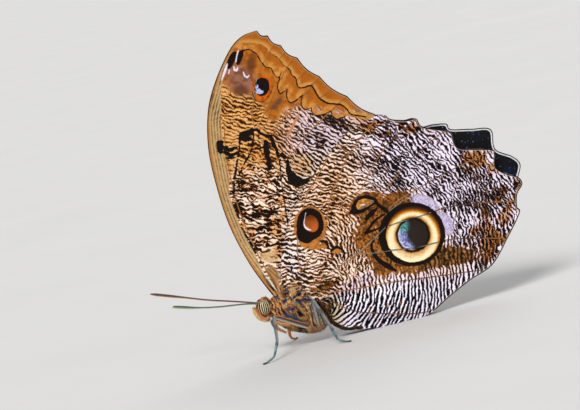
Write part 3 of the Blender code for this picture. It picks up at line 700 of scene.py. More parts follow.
def hind_heading(spots):
    away = spots - np.array(WING_ROOT)
    around = np.arctan2(away[:, 1], away[:, 0]) - math.pi / 2
    around = np.where(around < -math.pi, around + 2 * math.pi, around)
    level = ramp(np.linalg.norm(away, axis=1), 12, 5)
    around = around + (math.radians(-15) - around) * level
    around = around - math.radians(36) * haze(spots, *FRONT_STRIPES)
    around = around - math.radians(34) * haze(spots, *RIPPLE_SWIRL)
    calm = 1 - 0.6 * ramp(spots[:, 1], 20, 10)
    wander = math.radians(22) * mottle(spots, 1.9, 5) + math.radians(12) * mottle(spots, 5.0, 6)
    return around + calm * wander


def hind_period(spots):
    wider = 0.32 * haze(spots, *FRONT_STRIPES) + 0.14 * ramp(spots[:, 1], 22, 8)
    return 0.90 + wider + 0.10 * mottle(spots, 5.0, 9)


FRONT_SPOT = [
    (-12.0, 33.4), (-10.9, 35.3), (-9.0, 36.3), (-6.8, 35.9), (-5.2, 34.3), (-4.8, 31.9), (-5.4, 29.6),
    (-6.9, 28.1), (-9.0, 27.4), (-10.2, 27.0), (-11.9, 27.7), (-12.8, 29.3), (-12.5, 31.5),
]
FRONT_SPOT_CORE = [
    (-10.1, 33.2), (-9.2, 34.2), (-7.8, 34.3), (-6.6, 33.2), (-6.3, 31.4), (-7.0, 30.0), (-8.5, 29.7),
    (-9.9, 30.8), (-10.4, 31.9),
]
FLAT_SPOT = [
    (3.1, 32.1), (3.5, 33.9), (4.6, 35.1), (6.2, 36.0), (8.2, 36.1), (10.0, 35.2), (11.1, 33.8),
    (10.1, 33.0), (8.0, 32.5), (5.6, 31.8), (3.8, 31.7),
]
FLAT_SPOT_CORE = [
    (4.9, 33.8), (5.8, 35.0), (7.5, 35.2), (9.0, 34.6), (10.1, 33.8), (8.7, 33.2), (6.6, 32.7), (5.2, 32.7),
]
HIND_STROKES = [
    ([(6.9, 29.6), (8.1, 30.5), (10.2, 31.7)], [1.0, 1.6, 0.7]),
    ([(5.6, 25.5), (7.2, 27.1), (9.7, 28.9), (12.2, 29.8)], [0.5, 0.7, 0.8, 0.5]),
    ([(5.9, 25.9), (8.8, 26.2), (11.2, 26.7)], [0.8, 0.6, 0.4]),
    ([(10.6, 33.3), (11.8, 31.7), (13.4, 30.0)], [0.8, 1.3, 1.0]),
    ([(8.0, 24.1), (6.8, 22.2), (7.0, 19.9), (8.1, 17.7), (9.9, 15.8), (11.8, 14.0)],
     [0.6, 0.7, 1.0, 1.3, 1.6, 0.6]),
    ([(3.1, 32.3), (5.6, 31.8), (8.5, 32.5)], [0.9, 0.6, 0.5]),
    ([(-6.9, 26.9), (-5.3, 26.2), (-5.0, 24.5)], [0.5, 1.0, 0.4]),
    ([(-4.6, 23.4), (-2.9, 24.2), (-1.5, 23.2), (-0.4, 21.7)], [0.5, 0.9, 0.6, 0.3]),
]
CROSSING_WIDTHS = [0.16, 0.2, 0.16]
EYE_CROSSINGS = [
    ([(-6.0, 18.0), (-0.5, 20.0), (3.9, 21.8), (7.8, 23.9), (11.7, 26.2)], CROSSING_WIDTHS),
    ([(4.7, 20.5), (8.3, 19.9), (11.7, 19.7)], CROSSING_WIDTHS),
    ([(13.4, 30.1), (16.6, 31.6), (19.4, 32.6)], CROSSING_WIDTHS),
]
SPOT_LIGHTS = [
    ([(-10.1, 32.9), (-10.1, 31.7), (-9.5, 30.8), (-8.5, 30.3)], [0.2, 0.4, 0.5, 0.2]),
    ([(-9.0, 35.2), (-9.7, 33.7), (-10.2, 32.4)], [0.16, 0.2, 0.2]),
    ([(6.3, 33.7), (7.2, 33.7)], [0.3, 0.3]),
]
FRONT_TAIL = [(-11.0, 27.6), (-9.3, 26.3), (-7.5, 25.2)]
HIND_VEIN_LINES = [
    [(-14.1, 20.0), (-13.6, 26.0), (-12.2, 30.6), (-10.0, 35.7), (-7.2, 40.6), (-4.9, 43.1), (-2.0, 46.0),
     (0.2, 48.5)],
    [(-13.7, 20.2), (-11.3, 22.3), (-8.2, 26.1), (-4.8, 29.7), (-3.0, 34.3), (-1.6, 37.8), (1.1, 41.6),
     (3.7, 45.2), (6.8, 48.9), (10.6, 51.9), (15.1, 55.3)],
    [(-1.6, 37.8), (2.5, 37.1), (6.9, 37.8), (10.7, 42.2), (13.5, 45.0), (17.1, 48.2), (23.0, 51.5),
     (26.5, 52.9)],
    [(3.3, 31.9), (7.6, 33.4), (11.1, 34.4), (15.3, 37.4), (20.8, 41.5), (25.1, 44.1), (32.1, 47.5),
     (34.4, 47.7)],
    [(-12.6, 16.3), (-10.4, 16.0), (-6.0, 18.0), (1.3, 20.3), (3.8, 21.5), (7.7, 23.6), (11.4, 26.1)],
    [(11.4, 26.1), (12.8, 30.0), (17.1, 32.6), (25.7, 35.3), (32.4, 37.1), (45.0, 39.7)],
    [(11.4, 26.1), (15.8, 26.7), (23.0, 27.0), (28.0, 27.5), (31.9, 27.4), (38.7, 26.6), (48.9, 24.7)],
    [(0.2, 20.7), (4.5, 20.6), (11.4, 19.8), (18.0, 18.9), (25.5, 18.8), (29.7, 18.6), (43.4, 15.6)],
    [(-12.8, 15.7), (-9.3, 13.5), (-4.7, 12.4), (1.7, 11.9), (6.7, 11.6), (12.3, 11.1), (23.5, 9.8),
     (35.8, 8.5)],
    [(-12.9, 15.2), (-9.5, 12.4), (-5.6, 8.7), (-1.1, 5.9), (5.0, 3.9), (10.4, 2.4), (15.9, 1.3),
     (19.9, 1.3)],
]
HIND_HALO = [
    ((13.6, 22.2), (8.8, 9.4), 0), ((23.1, 13.5), (12.0, 4.4), -5), ((9.8, 24.0), (5.6, 7.6), 70),
    ((16.3, 31.6), (7.0, 3.2), -5), ((7.7, 33.7), (5.4, 3.0), 5), ((10.1, 29.2), (4.6, 5.2), 0),
    ((10.2, 16.9), (4.6, 3.6), 20),
]
print("hindwing strokes", len(HIND_STROKES), "veins", len(HIND_VEIN_LINES))

# %% [markdown]
# ## The great eyespot
# Each ring is a smooth circle about its own centre, made a little uneven so that no edge looks drawn with
# a compass. The colours run through a short list of radii, from the dark pupil to the bright ring.

# %% Great eyespot
EYE_RING_SQUEEZE = 0.975
PUPIL_EDGE = 5.0
RING_START = 5.6
CORE_EDGE = 7.4
CRESCENT_CENTRE = (19.2, 22.3)
CRESCENT_RADIUS = 3.9
CRESCENT_END = 18.5
PUPIL_RADIUS = 4.1
PUPIL_RIM = 3.95


def colour_ramp(radius, stops):
    at = [r for r, _ in stops]
    colours = np.array([shade(*rgb) for _, rgb in stops])
    return beside(*[np.interp(radius, at, colours[:, k]) for k in range(3)])


def radius_about(spots, centre):
    away = spots - np.array(centre)
    return np.hypot(away[:, 0], away[:, 1])


def great_eye(spots):
    """The great eyespot: the edge of its black ring, the edge of its bright core and the colours there."""
    away = spots - np.array(EYE_CENTRE)
    angle = np.arctan2(away[:, 1], away[:, 0])
    fine = 0.08 * mottle(spots, 0.35, 42)
    wobble = 0.10 * mottle(spots, 0.9, 41) + fine
    outer = EYE_RADIUS + 0.15 + 0.6 * np.cos(angle + math.radians(13)) ** 2
    ink = radius_about(spots, EYE_CENTRE) + wobble - outer
    pupil_radius = radius_about(spots, EYE_PUPIL_CENTRE)
    inner = pupil_radius + wobble
    ring = EYE_RING_SQUEEZE * radius_about(spots, EYE_RING_CENTRE)
    ring = ring + 0.08 * mottle(spots, 0.9, 43) + 0.08 * mottle(spots, 0.35, 44)
    between = inner + (ring - inner) * ramp(inner, PUPIL_EDGE, RING_START)
    radius = np.where(inner < PUPIL_EDGE, inner, np.where(ring > RING_START, ring, between))
    glow = 0.75 * np.cos(angle - math.radians(60)) * ramp(inner, 5.2, 6.4)
    colour = colour_ramp(radius + glow, EYE_STOPS)
    bow = np.abs(radius_about(spots, CRESCENT_CENTRE) - CRESCENT_RADIUS)
    crescent = 1 - ramp(bow, 0.5, 2.4)
    crescent *= ramp(CRESCENT_END - spots[:, 0], -0.4, 2.0)
    scales = mottle(spots, 0.22, 45) + 0.4 * mottle(spots, 0.5, 46)
    crescent *= 0.25 + 0.75 * ramp(scales, -0.1, 0.2)
    crescent *= 1 - ramp(inner - PUPIL_RADIUS, -0.12, 0.12)
    blue = blended(spots, (178, 186, 250), (92, 176, 170), ramp(away[:, 1], 0.3, 2.2))
    colour = paint(colour, blue, crescent)
    rim = 1 - ramp(np.abs(pupil_radius - PUPIL_RIM) - 0.12, -0.12, 0.12)
    rim *= ramp(np.cos(angle - math.radians(205)), 0.35, 0.75)
    colour = layered(colour, ((225, 222, 245), rim * 0.9))
    return ink, radius - (CORE_EDGE + 0.2 * np.sin(angle)), colour


# %% [markdown]
# ## The hindwing's layers
# They follow the same order as on the forewing. The brown halo of the eyespot lets the dark ripples
# through a little, so that it seems to lie in the scales and not on them.

# %% Hindwing layers
HIND_WARM = ((-0.8, 36.3), (7, 9), -30, 0.7)
HIND_STRAW = ((-9.5, 7.7), (4.5, 5), 0, 0.6)
HIND_BLUE = ((0.2, 13.1), (8, 1.8), 10, 0.6)
HIND_OLIVE = ((25.9, 13.1), (9.0, 5.0), -5, 0.5)
HIND_RUST = [
    ((19.2, 52.1), (9, 1.8), -16), ((41.2, 38.1), (6, 3.5), -20), ((45.7, 25.8), (3.5, 7.5), -70),
    ((42.4, 17.6), (4.5, 5.5), -60), ((39.2, 13.3), (3.2, 4.0), -30), ((36.2, 17.9), (3, 2.4), 0),
]
HIND_LILAC = [((23.9, 30.0), (4.2, 2.1), -38), ((27.9, 23.4), (2.3, 3.7), 22)]
HIND_DUTY = [
    ((12.0, 45.5), (9, 3.0), -22, 0.30), ((26.2, 41.6), (8, 4.0), -40, 0.25),
    ((38.3, 30.3), (7, 6.5), -55, 0.45), ((19.7, 50.9), (8, 2.2), -18, 0.20),
    ((46.0, 27.1), (3, 6), -60, 0.35), ((-7.9, 14.6), (3.2, 1.0), 10, 1.0),
    ((-9.7, 8.0), (1.6, 3.4), -30, 1.0), ((20.7, 35.9), (13, 4.2), -30, 0.20),
    ((35.5, 14.7), (9, 5), -20, 0.35), ((19.4, 4.5), (13, 5), 5, 0.22), ((-1.8, 37.0), (5, 6), -20, 0.15),
    ((0.6, 22.5), (7, 5), 0, 0.15),
]
HIND_RIPPLE_STRETCH = 1.4
HALO_FLOOR = (11.6, 13.8)
FRONT_COLLAR = ((-8.7, 31.3), (4.5, 5.5), -8, 0.12)
COLLAR_CLOUDS = [((-3.2, 23.2), (1.5, 0.7), -10), ((-6.0, 25.5), (1.0, 1.0), 0)]
TAIL_WIDTHS = [2.6, 1.8, 0.7]
CORE_DARK_ABOVE = (30.6, 34.8)


def hind_tones(spots, anal, rust, near_halo):
    """The ripples' three colours at each spot: the pale lines, the middle tone and the dark lines."""
    across, height = spots[:, 0], spots[:, 1]
    warm = haze(spots, *HIND_WARM)
    bold = haze(spots, *FRONT_STRIPES)
    pale = painted(
        spots, (250, 228, 210), ((240, 228, 247), ramp(across, 0, 20)), ((246, 236, 252), anal),
        ((238, 206, 172), warm * 0.5), ((205, 185, 135), haze(spots, *HIND_STRAW)),
        ((150, 160, 225), haze(spots, *HIND_BLUE) * 0.4), ((242, 224, 216), bold),
        ((190, 126, 56), rust * 0.95), ((222, 180, 140), near_halo * 0.5),
    )
    middle = painted(
        spots, (168, 112, 62), ((112, 84, 78), ramp(across, -2, 18)), ((70, 60, 66), anal),
        ((186, 116, 52), warm), ((70, 44, 28), bold), ((134, 74, 24), rust),
        ((160, 98, 44), near_halo),
    )
    dark = painted(
        spots, (34, 22, 15), ((12, 10, 14), ramp(across, 0, 16)),
        ((9, 8, 11), ramp(height, 16, 10)),
    )
    return pale, middle, dark


def hind_ripple(spots, anal, rust, lilac):
    """The ripples, shifted so that dark lines are broader where the duty is high."""
    duty = 0.25 * mottle(spots, 4.5, 21) + 0.14 * haze(spots, *FRONT_STRIPES)
    duty = weighted_clouds(duty, spots, HIND_DUTY, 0.7)
    duty += 0.02 * anal - 0.03 * ramp(spots[:, 0], 0, 20) - 0.6 * lilac + 0.2 * rust
    duty += 0.22 * mottle(spots, 1.3, 27) * (1 - 0.5 * anal)
    places = kinked(spots, 0.38 - 0.20 * anal, 85)
    waves = ripples(places, hind_heading, hind_period, HIND_RIPPLE_STRETCH, 11)
    return waves + 0.25 * mottle(spots, 0.5, 13) * (1 - 0.6 * anal) - duty


def hind_ground(spots, ripple, lilac, fine):
    """All that lies over the ripples: brown halo, lilac mist, tawny collar, and at the inner margin a tan
    band beside a black band of painted shadow.
    """
    across, height = spots[:, 0], spots[:, 1]
    free = 1 - lilac
    floor = ramp(height + 0.07 * (across - 12) + 0.8 * mottle(spots, 1.2, 30), *HALO_FLOOR)
    halo = clouds(spots, HIND_HALO, 0.35) * free * floor
    keep = ramp(halo + 0.30 * mottle(spots, 0.9, 33) - 0.25 * ripple, 0.3, 0.6)
    speckle = ramp(mottle(spots, 0.33, 31) + 0.5 * fine, -0.3, 0.5)
    brown = blended(spots, (184, 112, 44), (82, 48, 20), speckle)
    mist = blended(spots, (206, 196, 226), (150, 136, 168), ramp(mottle(spots, 0.3, 34), -0.2, 0.8))
    ground = paint(brown, mist, lilac)
    cover = np.maximum(keep, 0.8 * ramp(lilac, 0.3, 0.7))
    olive = blended(spots, (160, 106, 52), (94, 60, 28), ramp(fine, -0.4, 0.6))
    ground = paint(ground, olive, haze(spots, *HIND_OLIVE) * free)
    fleck = ramp(-ripple, -0.35, 0.1) * keep * (0.5 + 0.5 * ramp(across, 14, 22))
    ground = layered(ground, ((36, 23, 12), fleck))
    collar = np.maximum(haze(spots, *FRONT_COLLAR), clouds(spots, COLLAR_CLOUDS, 0.3))
    collar = np.maximum(collar, 1 - ramp(stroke(spots, FRONT_TAIL, TAIL_WIDTHS), 0, 0.5))
    tawny = blended(spots, (190, 118, 48), (140, 84, 36), ramp(fine, -0.2, 0.6))
    ground, cover = lay(ground, cover, tawny, ramp(collar, 0.35, 0.65))
    inner = to_line(spots, smooth_path(HIND_INNER[1:6], 0.6)) + 0.2 * mottle(spots, 0.7, 38)
    beyond = ramp(inner, 0.2, 0.35)
    # Along the inner margin: a tan band, and next to it a black band of painted shadow, as cast between the
    # hind leg and the wing.
    ground = layered(
        ground, ((150, 114, 74), 1 - beyond), ((24, 18, 18), beyond * (1 - ramp(inner, 0.6, 0.9)))
    )
    return ground, np.maximum(cover, 1 - ramp(inner, 0.6, 1.0))


def spot_colours(spots):
    """The amber core of the front spot and the honey core of the flat one."""
    amber = blended(spots, (188, 92, 26), (84, 36, 14), ramp(spots[:, 1], *CORE_DARK_ABOVE))
    amber = layered(amber, ((130, 60, 14), ramp(mottle(spots, 0.5, 37), 0.2, 0.9) * 0.5))
    speckle = ramp(mottle(spots, 0.5, 39) + mottle(spots, 1.2, 40), 0.1, 1.0)
    return amber, blended(spots, (206, 140, 62), (150, 92, 40), speckle)


def hind_pattern(spots):
    """Every number and colour that the scales of the hindwing need, by name."""
    across, height = spots[:, 0], spots[:, 1]
    fine = mottle(spots, 0.7, 32)
    anal = ramp(height, 14, 9)
    rust = clouds(spots, HIND_RUST)
    rust = np.minimum(1.35 * rust * ramp(mottle(spots, 2.2, 24) + 0.5 * fine, -0.5, 0.3), 1)
    lilac = clouds(spots, HIND_LILAC, 0.4)
    near_halo = clouds(spots, HIND_HALO) * (1 - lilac)
    pale, middle, dark = hind_tones(spots, anal, rust, near_halo)
    ripple = hind_ripple(spots, anal, rust, lilac)
    warmth = 0.75 * (1 - ramp(across, 4, 24)) * (1 - anal) + 0.25
    warmth += 0.4 * rust + 0.35 * mottle(spots, 2.6, 26)
    ground, cover = hind_ground(spots, ripple, lilac, fine)
    front = patch(spots, FRONT_SPOT) + 0.08 * mottle(spots, 0.6, 36)
    marks = strokes(spots, HIND_STROKES) + 0.12 * mottle(spots, 0.5, 35)
    eye_ink, eye_edge, eye_colour = great_eye(spots)
    front_core, flat_core = patch(spots, FRONT_SPOT_CORE), patch(spots, FLAT_SPOT_CORE)
    amber, honey = spot_colours(spots)
    inlay = np.where((flat_core < 1)[:, None], honey, eye_colour)
    inlay = np.where((front_core < 1)[:, None], amber, inlay)
    lights, crossing = strokes(spots, SPOT_LIGHTS), strokes(spots, EYE_CROSSINGS)
    return {
        "ripple": ripple, "warmth": warmth, "pale": pale, "middle": middle, "dark": dark,
        "ground": ground, "cover": cover, "ink": lowest([marks, front, patch(spots, FLAT_SPOT), eye_ink]),
        "inlay": inlay, "inlay_edge": lowest([front_core, flat_core, eye_edge]),
        "pupil": np.full(len(spots), FAR),
        "light": np.where((crossing < lights)[:, None], shade(142, 150, 138), shade(238, 232, 240)),
        "light_edge": np.minimum(crossing, lights),
    }


# %% [markdown]
# ## The scales' material
# Real wing scales lie like tiles, a tenth of a millimetre across, each of one colour. The material lays
# its layers in the same order as the painter would: ripples, clouds, veins, black ink, bright cores and
# last the lights. A fine cell pattern then shifts every scale a little, and raises its edge.

# %% Material helpers


def new_material(name, roughness, sheen=0.0, specular=0.4):
    material = bpy.data.materials.new(name)
    material.use_nodes = True
    shader = material.node_tree.nodes["Principled BSDF"]
    shader.inputs["Roughness"].default_value = roughness
    shader.inputs["Sheen Weight"].default_value = sheen
    shader.inputs["Specular IOR Level"].default_value = specular
    return material, material.node_tree, shader


def wire(tree, kind, sources, **settings):
    """A node with some of its sockets fed by other sockets, or set to plain values."""
    made = tree.nodes.new(kind)
    for key, value in settings.items():
        setattr(made, key, value)
    for key, value in sources.items():
        if isinstance(value, bpy.types.NodeSocket):
            tree.links.new(value, made.inputs[key])
        else:
            made.inputs[key].default_value = value
    return made


def stored(tree, name, colour=False):
    made = wire(tree, "ShaderNodeAttribute", {}, attribute_name=name)
    return made.outputs["Color"] if colour else made.outputs["Fac"]


def compute(tree, operation, a, b=0.0):
    return wire(tree, "ShaderNodeMath", {0: a, 1: b}, operation=operation).outputs[0]


def soft_edge(tree, value, low, high):
    """0 below low, 1 above high and smooth between."""
    sources = {"Value": value, "From Min": low, "From Max": high}
    return wire(tree, "ShaderNodeMapRange", sources, interpolation_type="SMOOTHSTEP").outputs["Result"]


def cover_with(tree, base, colour, amount):
    made = wire(tree, "ShaderNodeMix", {"Factor": amount}, data_type="RGBA")
    for socket, value in ((made.inputs[6], base), (made.inputs[7], colour)):
        if isinstance(value, bpy.types.NodeSocket):
            tree.links.new(value, socket)
        else:
            socket.default_value = (*value, 1)
    return made.outputs[2]


def laid(tree, colour, *layers):
    """Colours laid over each other in turn, each with how far it covers."""
    for top, amount in layers:
        colour = cover_with(tree, colour, top, amount)
    return colour


def stored_edge(tree, name, first, second):
    """0 where the stored number is at the first edge and 1 at the second, smooth between."""
    return soft_edge(tree, stored(tree, name), first, second)


def toned(tree, shader, colour, value, darkest, palest):
    """Wire the colour in, darker where the value is 0 and lighter where it is 1."""
    tone = wire(tree, "ShaderNodeMapRange", {"Value": value, "To Min": darkest, "To Max": palest})
    tuned = wire(tree, "ShaderNodeHueSaturation", {"Color": colour, "Value": tone.outputs["Result"]})
    tree.links.new(tuned.outputs["Color"], shader.inputs["Base Color"])


def object_place(tree):
    return wire(tree, "ShaderNodeTexCoord", {}).outputs["Object"]


def grain(tree, size, detail=2.0):
    """Fine noise from 0 to 1 with lumps of about size, in mm."""
    sources = {"Vector": object_place(tree), "Scale": 1 / (size * MM), "Detail": detail}
    return wire(tree, "ShaderNodeTexNoise", sources).outputs["Fac"]


def bumped(tree, shader, height, depth, strength=1.0):
    bump = wire(tree, "ShaderNodeBump", {"Height": height, "Distance": depth * MM, "Strength": strength})
    tree.links.new(bump.outputs["Normal"], shader.inputs["Normal"])


def toned_material(name, roughness, lump, darkest, palest, sheen=0.0, specular=0.4):
    """The stored colours of the coat, darker and lighter in lumps of the given size."""
    material, tree, shader = new_material(name, roughness, sheen, specular)
    toned(tree, shader, stored(tree, "coat", True), grain(tree, lump), darkest, palest)
    return material, tree, shader


# %% [markdown]
# ## The two sides of a wing
# The underside reads the stored numbers and colours of the pattern, and the upper side is near black.
# Both take the same cells as scales.

# %% Scales of both sides
SCALE_SIZE = 0.13


INK = (0.0085, 0.0055, 0.0042)
VEIN_DARK = (0.07, 0.035, 0.016)
VEIN_WARM = (0.33, 0.13, 0.03)
CORE_LINE = (0.02, 0.018, 0.018)
CORE_LINE_LIGHT = (0.42, 0.42, 0.34)
MARGIN_PALE = (0.62, 0.50, 0.36)
MARGIN_DARK = (0.014, 0.010, 0.008)


def scale_tiles(tree):
    """The cells of the scales: the distance from a cell's middle, and two random numbers for it."""
    sources = {"Vector": object_place(tree), "Scale": 1 / (SCALE_SIZE * MM)}
    tiles = wire(tree, "ShaderNodeTexVoronoi", sources)
    parts = wire(tree, "ShaderNodeSeparateColor", {"Color": tiles.outputs["Color"]}).outputs
    return tiles.outputs["Distance"], parts["Red"], parts["Green"]


def underside_material():
    material, tree, shader = new_material("scales_underside", 0.7, specular=0.06)
    distance, tile, _ = scale_tiles(tree)
    rough_edge = compute(tree, "MULTIPLY", compute(tree, "SUBTRACT", tile, 0.5), 0.6)
    jitter = compute(tree, "MULTIPLY", rough_edge, 0.16)
    wave = compute(tree, "ADD", stored(tree, "ripple"), rough_edge)
    warmth = stored(tree, "warmth")
    dark_wave = compute(tree, "ADD", wave, compute(tree, "MULTIPLY", warmth, 0.10))
    pale_wave = compute(tree, "SUBTRACT", wave, compute(tree, "MULTIPLY", warmth, 0.14))
    covering = compute(tree, "ADD", stored(tree, "cover"), compute(tree, "MULTIPLY", rough_edge, 0.6))
    vein_colour = cover_with(tree, VEIN_DARK, VEIN_WARM, soft_edge(tree, warmth, 0.15, 0.65))

    def edge_of(name, width=0.05):
        return soft_edge(tree, compute(tree, "ADD", stored(tree, name), jitter), width, -width)

    def on_core(wide, narrow):
        hairline = compute(tree, "MULTIPLY", stored_edge(tree, "vein", wide, narrow), 0.85)
        return compute(tree, "MULTIPLY", hairline, edge_of("inlay_edge"))

    colour = laid(
        tree, stored(tree, "dark", True),
        (stored(tree, "middle", True), soft_edge(tree, dark_wave, -0.22, -0.08)),
        (stored(tree, "pale", True), soft_edge(tree, pale_wave, 0.0, 0.16)),
        (stored(tree, "ground", True), soft_edge(tree, covering, 0.15, 0.85)),
        (vein_colour, stored_edge(tree, "vein", 0.19, 0.10)),
        (INK, edge_of("ink")),
        (stored(tree, "inlay", True), edge_of("inlay_edge")),
        (INK, edge_of("pupil")),
        (CORE_LINE, on_core(0.25, 0.17)),
        (CORE_LINE_LIGHT, on_core(0.12, 0.06)),
        (stored(tree, "light", True), edge_of("light_edge", 0.09)),
        (MARGIN_PALE, compute(tree, "MULTIPLY", stored_edge(tree, "margin", 0.42, 0.32), 0.6)),
        (MARGIN_DARK, stored_edge(tree, "margin", 0.30, 0.20)),
    )
    toned(tree, shader, colour, tile, 0.80, 1.16)
    bumped(tree, shader, compute(tree, "ADD", distance, compute(tree, "MULTIPLY", wave, 0.8)), 0.035, 0.8)
    return material


def upperside_material():
    """The upper side, seen only at the worn margin and between the wings: near black, with patches of
    painted blue sheen and sparse bright blue specks.
    """
    material, tree, shader = new_material("scales_upperside", 0.7, specular=0.12)
    distance, tile, specks = scale_tiles(tree)
    colour = laid(
        tree, (0.004, 0.004, 0.005),
        # Painted sheen: patches of dark blue in the near black stand in for the blue sheen of the upper
        # side.
        ((0.003, 0.012, 0.040), soft_edge(tree, grain(tree, 6.0), 0.52, 0.72)),
        ((0.30, 0.42, 0.70), soft_edge(tree, specks, 0.988, 0.998)),
        ((0.045, 0.026, 0.014), stored_edge(tree, "rim", 0.8, 0.2)),
        ((0.80, 0.78, 0.80), stored_edge(tree, "margin", 0.6, 0.46)),
        ((0.008, 0.007, 0.007), stored_edge(tree, "margin", 0.26, 0.18)),
    )
    toned(tree, shader, colour, tile, 0.7, 1.3)
    bumped(tree, shader, distance, 0.03, 0.7)
    return material


underside = underside_material()
upperside = upperside_material()
print("wing materials", underside.name, upperside.name)

# %% [markdown]
# ## The wing sheets
# A wing is a skin far thinner than paper, stiffened by veins. Each one is cut out of a grid of small
# triangles along its outline, laid in the solid's own gently swelling surface, and given a second face
# close behind. The veins rise out of the outer face as low round ridges, and between them it sags a little.

# %% Wing outlines
FORE_FRONT = [
    (-20.7, 12.6), (-21.6, 14.4), (-23.1, 17.0), (-26.8, 25.5), (-29.8, 36.7), (-30.9, 48.5), (-30.7, 58.5),
    (-28.5, 68.2), (-24.7, 75.5), (-19.3, 82.5), (-15.3, 85.3), (-11.1, 86.0),
]
FORE_MARGIN = [
    (-11.1, 86.0), (-8.5, 84.0), (-5.6, 80.7), (-1.9, 76.4), (2.9, 70.2), (9.2, 63.2), (15.5, 56.8),
    (21.1, 47.6),
]
FORE_HIND_EDGE = [(21.1, 47.6), (12.6, 39.0), (0.1, 30.0), (-9.9, 21.5), (-14.9, 15.6), (-15.9, 12.6)]
HIND_FRONT = [
    (-16.9, 11.6), (-18.3, 14.2), (-19.5, 16.4), (-19.9, 19.0), (-18.3, 24.9), (-14.5, 33.2), (-9.4, 40.0),
    (-3.3, 45.8), (2.9, 51.0), (8.1, 54.3), (15.0, 56.3), (18.0, 56.0),
]
HIND_TIP = [(18.0, 56.0), (19.4, 54.5), (23.3, 53.2), (26.3, 53.0), (27.7, 50.4)]
HIND_OUTER_WHOLE = [
    (31.1, 50.2), (34.8, 49.5), (35.7, 47.8), (41.1, 46.6), (46.6, 45.2), (46.7, 39.7), (51.0, 36.6),
    (52.7, 34.0), (51.3, 30.6),
]
HIND_OUTER_WORN = [
    (34.5, 47.5), (35.3, 44.4), (36.8, 42.2), (44.9, 40.1), (45.7, 38.6), (45.2, 35.0), (47.8, 32.6),
    (50.7, 31.0), (51.5, 28.9),
]
HIND_LOWER = [
    (49.5, 26.5), (48.7, 23.1), (49.1, 21.4), (44.5, 15.6), (38.6, 9.3), (31.6, 6.6), (24.8, 3.5),
    (19.9, 1.0), (16.5, 0.05),
]
HIND_REST = [(16.5, 0.05), (4.6, 0.05)]
HIND_INNER = [
    (4.6, 0.05), (-1.2, 1.0), (-5.8, 2.0), (-8.8, 4.8), (-10.1, 8.6), (-11.3, 10.8), (-13.3, 11.5),
    (-16.9, 11.6),
]
SIDES = [(-1, "left", HIND_OUTER_WORN), (1, "right", HIND_OUTER_WHOLE)]
RING_STEP = 0.32
SCALLOP = 0.7


def square_to(a, b):
    """The way that is square to the line from a to b."""
    return np.array(((b - a)[1], -(b - a)[0])) / np.linalg.norm(b - a)


def scallops(ends, depth):
    """A margin hollowed a little between the vein ends."""
    row = []
    for a, b in zip(ends, ends[1:]):
        a, b = np.array(a), np.array(b)
        inward = square_to(a, b)
        count = max(2, round(float(np.linalg.norm(b - a)) / RING_STEP))
        for j in range(count):
            t = j / count
            row.append(a + (b - a) * t + inward * depth * math.sin(math.pi * t))
    return row


def fore_margin():
    return np.array(scallops(FORE_MARGIN, SCALLOP))


def hind_margin(outer):
    return smooth_path(HIND_TIP + outer + HIND_LOWER[:-1], RING_STEP)


def fore_ring():
    ring = list(smooth_path(FORE_FRONT, RING_STEP)[:-1]) + list(fore_margin())
    return np.array(ring + list(smooth_path(FORE_HIND_EDGE, RING_STEP)[:-1]) + [FORE_HIND_EDGE[-1]])


def hind_ring(outer):
    margin = hind_margin(outer)
    ring = list(smooth_path(HIND_FRONT, RING_STEP)[:-1]) + list(margin)
    ring += scallops([margin[-1], HIND_LOWER[-1]], 0.0)[1:] + scallops(HIND_REST, 0.0)
    return np.array(ring + list(smooth_path(HIND_INNER, RING_STEP)[:-1]))


print("outline corners", len(fore_ring()), len(hind_ring(HIND_OUTER_WORN)))

# %% [markdown]
# ## How far each wing stands off the middle
# The four wings lie on each other like pages. The forewings stand closest to the middle plane and the
# hindwings cover them, and all swell outwards over the thorax and the abdomen. These are the solids'
# own curves, so each sheet lies where its solid lies.

# %% Stand-off
FORE_STAND_OFF = 0.65
HIND_STAND_OFF = 1.25
HIND_OVER_FORE = 0.65
ROOT_BULGE = 1.6
ROOT_BULGE_RADIUS = 9.0
ABDOMEN_BULGE = 2.15
ABDOMEN_BULGE_RADIUS = 6.5
OVERLAP_FADE = 9.0
BULGE_CENTRE = (-18.9, 15.0)
BELLY_LINE = [(-7.2, 7.8), (14.7, 5.2)]


def bell(distance, radius):
    return np.exp(-((distance / radius) ** 2))


def fore_stand_off(spots):
    away = np.linalg.norm(spots - np.array(BULGE_CENTRE), axis=1)
    return FORE_STAND_OFF + ROOT_BULGE * bell(away, ROOT_BULGE_RADIUS)


def hind_stand_off(spots):
    beyond = np.zeros(len(spots))
    for a, b in ((FORE_HIND_EDGE[-1], FORE_MARGIN[-1]), (FORE_MARGIN[-1], FORE_MARGIN[-2])):
        a, b = np.array(a), np.array(b)
        outward = square_to(a, b)
        beyond = np.maximum(beyond, (spots - a) @ outward)
    over = HIND_OVER_FORE * (1 - ramp(beyond, 0, OVERLAP_FADE))
    away = np.linalg.norm(spots - np.array(BULGE_CENTRE), axis=1)
    belly = ABDOMEN_BULGE * bell(to_line(spots, np.array(BELLY_LINE)), ABDOMEN_BULGE_RADIUS)
    return HIND_STAND_OFF + over + ROOT_BULGE * bell(away, ROOT_BULGE_RADIUS) + belly


# %% [markdown]
# ## One sheet for each wing
# The outer face has corners every quarter of a millimetre, so that it can carry the fine pattern. The
# inner face is coarser, as only its dark upper side shows at the worn margin. A rim closes the two.

# %% Wings
GRID_STEP = 0.27
BACK_STEP = 0.8
MEMBRANE = 0.14
VEIN_HEIGHT = 0.17
VEIN_HALF_WIDTH = 0.38
SAG = 0.12
SAG_REACH = 2.5
RIDGE_END = 0.4
SAG_END = 2.0
MAP_SHARE = 0.48


